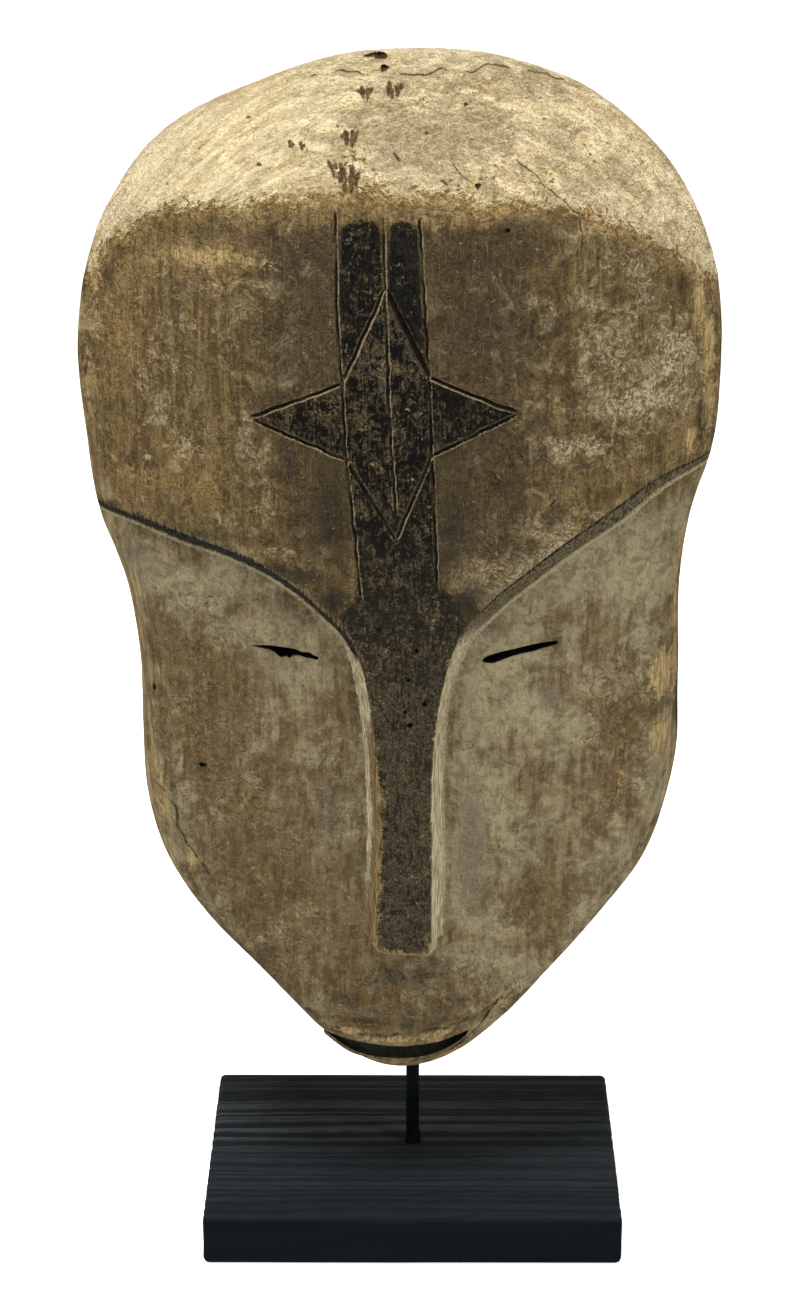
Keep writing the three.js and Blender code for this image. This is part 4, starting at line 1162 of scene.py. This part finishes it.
# The block: a piece of softwood board, brushed so that its hard growth lines stand up, rounded a
# little along its edges and stained black. A blind hole behind its middle takes the rod.
board_low, board_high = (np.array(corner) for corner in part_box("stand_block"))
board_tree = bpy.data.node_groups.new("brushed_board", "GeometryNodeTree")
board_sizes = {
    "Length": board_high[0] - board_low[0],
    "Width": board_high[1] - board_low[1],
    "Thickness": board_high[2] - board_low[2],
    "Rounding": 0.0028,
    "Line gap": 0.0040,
    "Relief": 0.0007,
    "Hole radius": (ROD_RADIUS + 0.3) / 1000,
    "Hole bottom": (ROD_FOOT - 0.3) / 1000,
    "Seed": 5.3,
}
sockets = {}
for name in [*board_sizes, "Stain"]:
    kind = "NodeSocketMaterial" if name == "Stain" else "NodeSocketFloat"
    made = board_tree.interface.new_socket(name=name, in_out="INPUT", socket_type=kind)
    sockets[name] = made.identifier
board_tree.interface.new_socket(name="Board", in_out="OUTPUT", socket_type="NodeSocketGeometry")
bench = Finish(board_tree)
given = board_tree.nodes.new("NodeGroupInput")
size = {name: Finish(board_tree, given.outputs[name]) for name in sockets}
seed = size["Seed"]

unit = bench.node("GeometryNodeMeshCube", {
    "Size": (2, 2, 2), "Vertices X": 112, "Vertices Y": 214, "Vertices Z": 20,
})
# Rows of vertices draw together towards the edges, where the board is rounded
half = [size[name] * 0.5 for name in ("Length", "Width", "Thickness")]
unit_place = bench.node("GeometryNodeInputPosition", {})
spread = []
core = []
for k in range(3):
    share = unit_place.part(k)
    from_edge = bench.math("SUBTRACT", 1.0, abs(share)).larger(0.0)
    drawn = bench.math("SIGN", share) * (1 - bench.math("POWER", from_edge, 1.4))
    spread.append(drawn * half[k])
    reach = half[k] - size["Rounding"]
    core.append(bench.math("MINIMUM", spread[k].larger(reach * -1), reach))
spread_place, core_place = bench.vector(*spread), bench.vector(*core)
away = bench.node("ShaderNodeVectorMath", {0: spread_place, 1: core_place}, operation="SUBTRACT")
outward = bench.node("ShaderNodeVectorMath", {0: away}, operation="NORMALIZE")
x, y, z = spread
# Growth lines run along the board and waver; a slow change of the gap bunches them up
waver = bench.noise(bench.vector(x * 9, y * 16, z * 5 + seed), 1, 2)
bunch = bench.noise(bench.vector(x * 1.5, y * 22, seed), 1, 1)
line_at = (y * 1.0 + z * 0.3 + waver * 0.010 + bunch * 0.020) / size["Line gap"]
growth = bench.noise(bench.vector(x * 2.0, line_at, seed + 4), 1, 1.5).between(0.44, 0.56)
fine = bench.noise(bench.vector(x * 14, line_at * 3.1, seed + 9), 1, 2)
strong = bench.noise(bench.vector(x * 2, y * 14, seed + 2), 1, 0).between(0.38, 0.62)
sunk = size["Relief"] * ((1 - growth) * (strong * 0.8 + 0.2) + fine * 0.25)
skin = bench.node("ShaderNodeVectorMath", {0: outward, "Scale": size["Rounding"] - sunk},
                  operation="SCALE")
moved = bench.node("ShaderNodeVectorMath", {0: core_place, 1: skin}, operation="ADD")
lifted = bench.node("ShaderNodeVectorMath", {0: moved, 1: bench.vector(0.0, 0.0, half[2])},
                    operation="ADD")
board = bench.node("GeometryNodeStoreNamedAttribute", {
    "Geometry": unit, "Name": "grain", "Value": growth * (strong * 0.7 + 0.3),
}, data_type="FLOAT", domain="POINT")
board = bench.node("GeometryNodeSetPosition", {"Geometry": board, "Position": lifted})
drill = bench.node("GeometryNodeMeshCylinder", {
    "Vertices": 40, "Side Segments": 6, "Radius": size["Hole radius"], "Depth": size["Thickness"],
})
drill = bench.node("GeometryNodeTransform", {
    "Geometry": drill,
    "Translation": bench.vector(0.0, ROD_Y / 1000, half[2] + size["Hole bottom"]),
})
board = bench.node("GeometryNodeMeshBoolean", {"Mesh 1": board, "Mesh 2": drill},
                   operation="DIFFERENCE", solver="EXACT")
board = bench.node("GeometryNodeSetShadeSmooth", {"Geometry": board})
board = bench.node("GeometryNodeRealizeInstances", {"Geometry": board})
board = bench.node("GeometryNodeSetMaterial", {"Geometry": board, "Material": size["Stain"]})
board.feed(board_tree.nodes.new("NodeGroupOutput"), "Board")

black_stain, brush, shader = new_finish("black_stain")
grain = brush.value("grain")
cloud = brush.noise(brush.place(0.016, 0.03, 0.03), 1, 3)
pores = brush.noise(brush.place(0.09, 1.4, 1.4), 1, 3, 0.6)
speck = brush.noise(brush.place(0.7, 0.9, 0.9), 1, 2)
place = brush.place(1, 1, 1)
# Painted light: the top is painted lighter than the sides, as if lit from above
lit_top_share = place.part(2).between(19.0, 21.6)
# Painted light: the back of the top is painted lighter than the front, against the shadow the mask
# casts on it
lit_back_share = (place.part(1) + cloud.swing(60)).between(-85, 60)
# Painted highlights on the raised growth lines and painted shade in the grooves between them
shaded_groove_tone = brush.blend(lit_back_share, (0.0074, 0.0098, 0.0112, 1), (0.0200, 0.0235, 0.0255, 1))
highlit_ridge_tone = brush.blend(lit_back_share, (0.0145, 0.0175, 0.0195, 1), (0.0860, 0.0920, 0.0950, 1))
lit_top_tone = brush.blend(grain, shaded_groove_tone, highlit_ridge_tone)
side = brush.blend(grain, (0.0030, 0.0048, 0.0062, 1), (0.0050, 0.0070, 0.0084, 1))
colour = brush.blend(lit_top_share, side, lit_top_tone).under(
    (pores.between(0.5, 0.64) * 0.5, (0.0034, 0.0044, 0.0052, 1)))
colour.feed(shader, "Base Color")
(0.74 - 0.12 * grain + 0.16 * speck).feed(shader, "Roughness")
shader.inputs["Specular IOR Level"].default_value = 0.04
bump = brush.node("ShaderNodeBump", {
    "Strength": 0.6, "Distance": 0.00025, "Height": pores * -0.7 + speck * 0.3 + grain * 0.4,
})
bump.feed(shader, "Normal")

maker = stand_in_scene("board_maker", bpy.data.meshes.new("board_blank"))
grow = maker.modifiers.new("grow", "NODES")
grow.node_group = board_tree
for name, value in board_sizes.items():
    grow[sockets[name]] = float(value)
grow[sockets["Stain"]] = black_stain
seen_by = bpy.context.evaluated_depsgraph_get()
block_mesh = bpy.data.meshes.new_from_object(maker.evaluated_get(seen_by), depsgraph=seen_by)
maker.modifiers.remove(grow)
bpy.data.objects.remove(maker)
block_mesh.name = "block_brushed"
block_mesh.materials.clear()
block_mesh.materials.append(black_stain)
block_mesh.polygons.foreach_set("material_index", [0] * len(block_mesh.polygons))
block = stand_in_scene("block_brushed", block_mesh)
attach(block, "root")
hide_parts("stand_block")


# Around the object: a plain pale floor that runs out into white, a large soft light overhead with
# two weak ones in front, and the camera.
FLOOR_HALF = 6
FLOOR_Z = -0.0004
floor_mesh = bpy.data.meshes.new("floor")
floor_mesh.from_pydata(
    [(x * FLOOR_HALF, y * FLOOR_HALF, FLOOR_Z) for x, y in ((-1, -1), (1, -1), (1, 1), (-1, 1))],
    [], [(0, 1, 2, 3)])
floor = stand_in_scene("floor", floor_mesh)
floor_paint, brush, shader = new_finish("floor_paint")
shader.inputs["Base Color"].default_value = (0.85, 0.85, 0.85, 1)
shader.inputs["Roughness"].default_value = 0.9
shader.inputs["Emission Strength"].default_value = 0.8
seen = brush.node("ShaderNodeLightPath", {})
brush.blend(seen, (0, 0, 0, 1), (1, 1, 1, 1)).feed(shader, "Emission Color")
floor_mesh.materials.append(floor_paint)

world = bpy.data.worlds.new("studio")
bpy.context.scene.world = world
world.use_nodes = True
sky = world.node_tree.nodes["Background"]
sky.inputs["Color"].default_value = (0.97, 0.98, 1, 1)
seen = Finish(world.node_tree).node("ShaderNodeLightPath", {})
(seen * 0.68 + 0.32).feed(sky, "Strength")


def soft_light(name, place, target, size, power):
    """A round lamp that faces the target."""
    light = bpy.data.lights.new(name, "AREA")
    light.shape = "DISK"
    light.size = size
    light.energy = power
    lamp = stand_in_scene(name, light)
    lamp.location = place
    lamp.rotation_euler = (Vector(target) - Vector(place)).to_track_quat("-Z", "Y").to_euler()


soft_light("overhead", (-0.2, -0.45, 1.9), (0, 0, 0.3), 1.1, 50)
soft_light("front_left", (-1.5, -1.6, 1.1), (0, 0, 0.28), 1.0, 11)
soft_light("front_right", (1.5, -1.5, 1.1), (0, 0, 0.28), 1.0, 19)

LOOKS_DOWN = 17.16
camera_data = bpy.data.cameras.new("camera")
camera_data.lens = 103.63
camera_data.sensor_width = 36
camera = stand_in_scene("camera", camera_data)
camera.location = (0.00081, -1.49525, 0.70982)
camera.rotation_euler = (math.radians(90 - LOOKS_DOWN), 0, 0.00423)
bpy.context.scene.camera = camera
bpy.context.scene.view_settings.view_transform = "Standard"
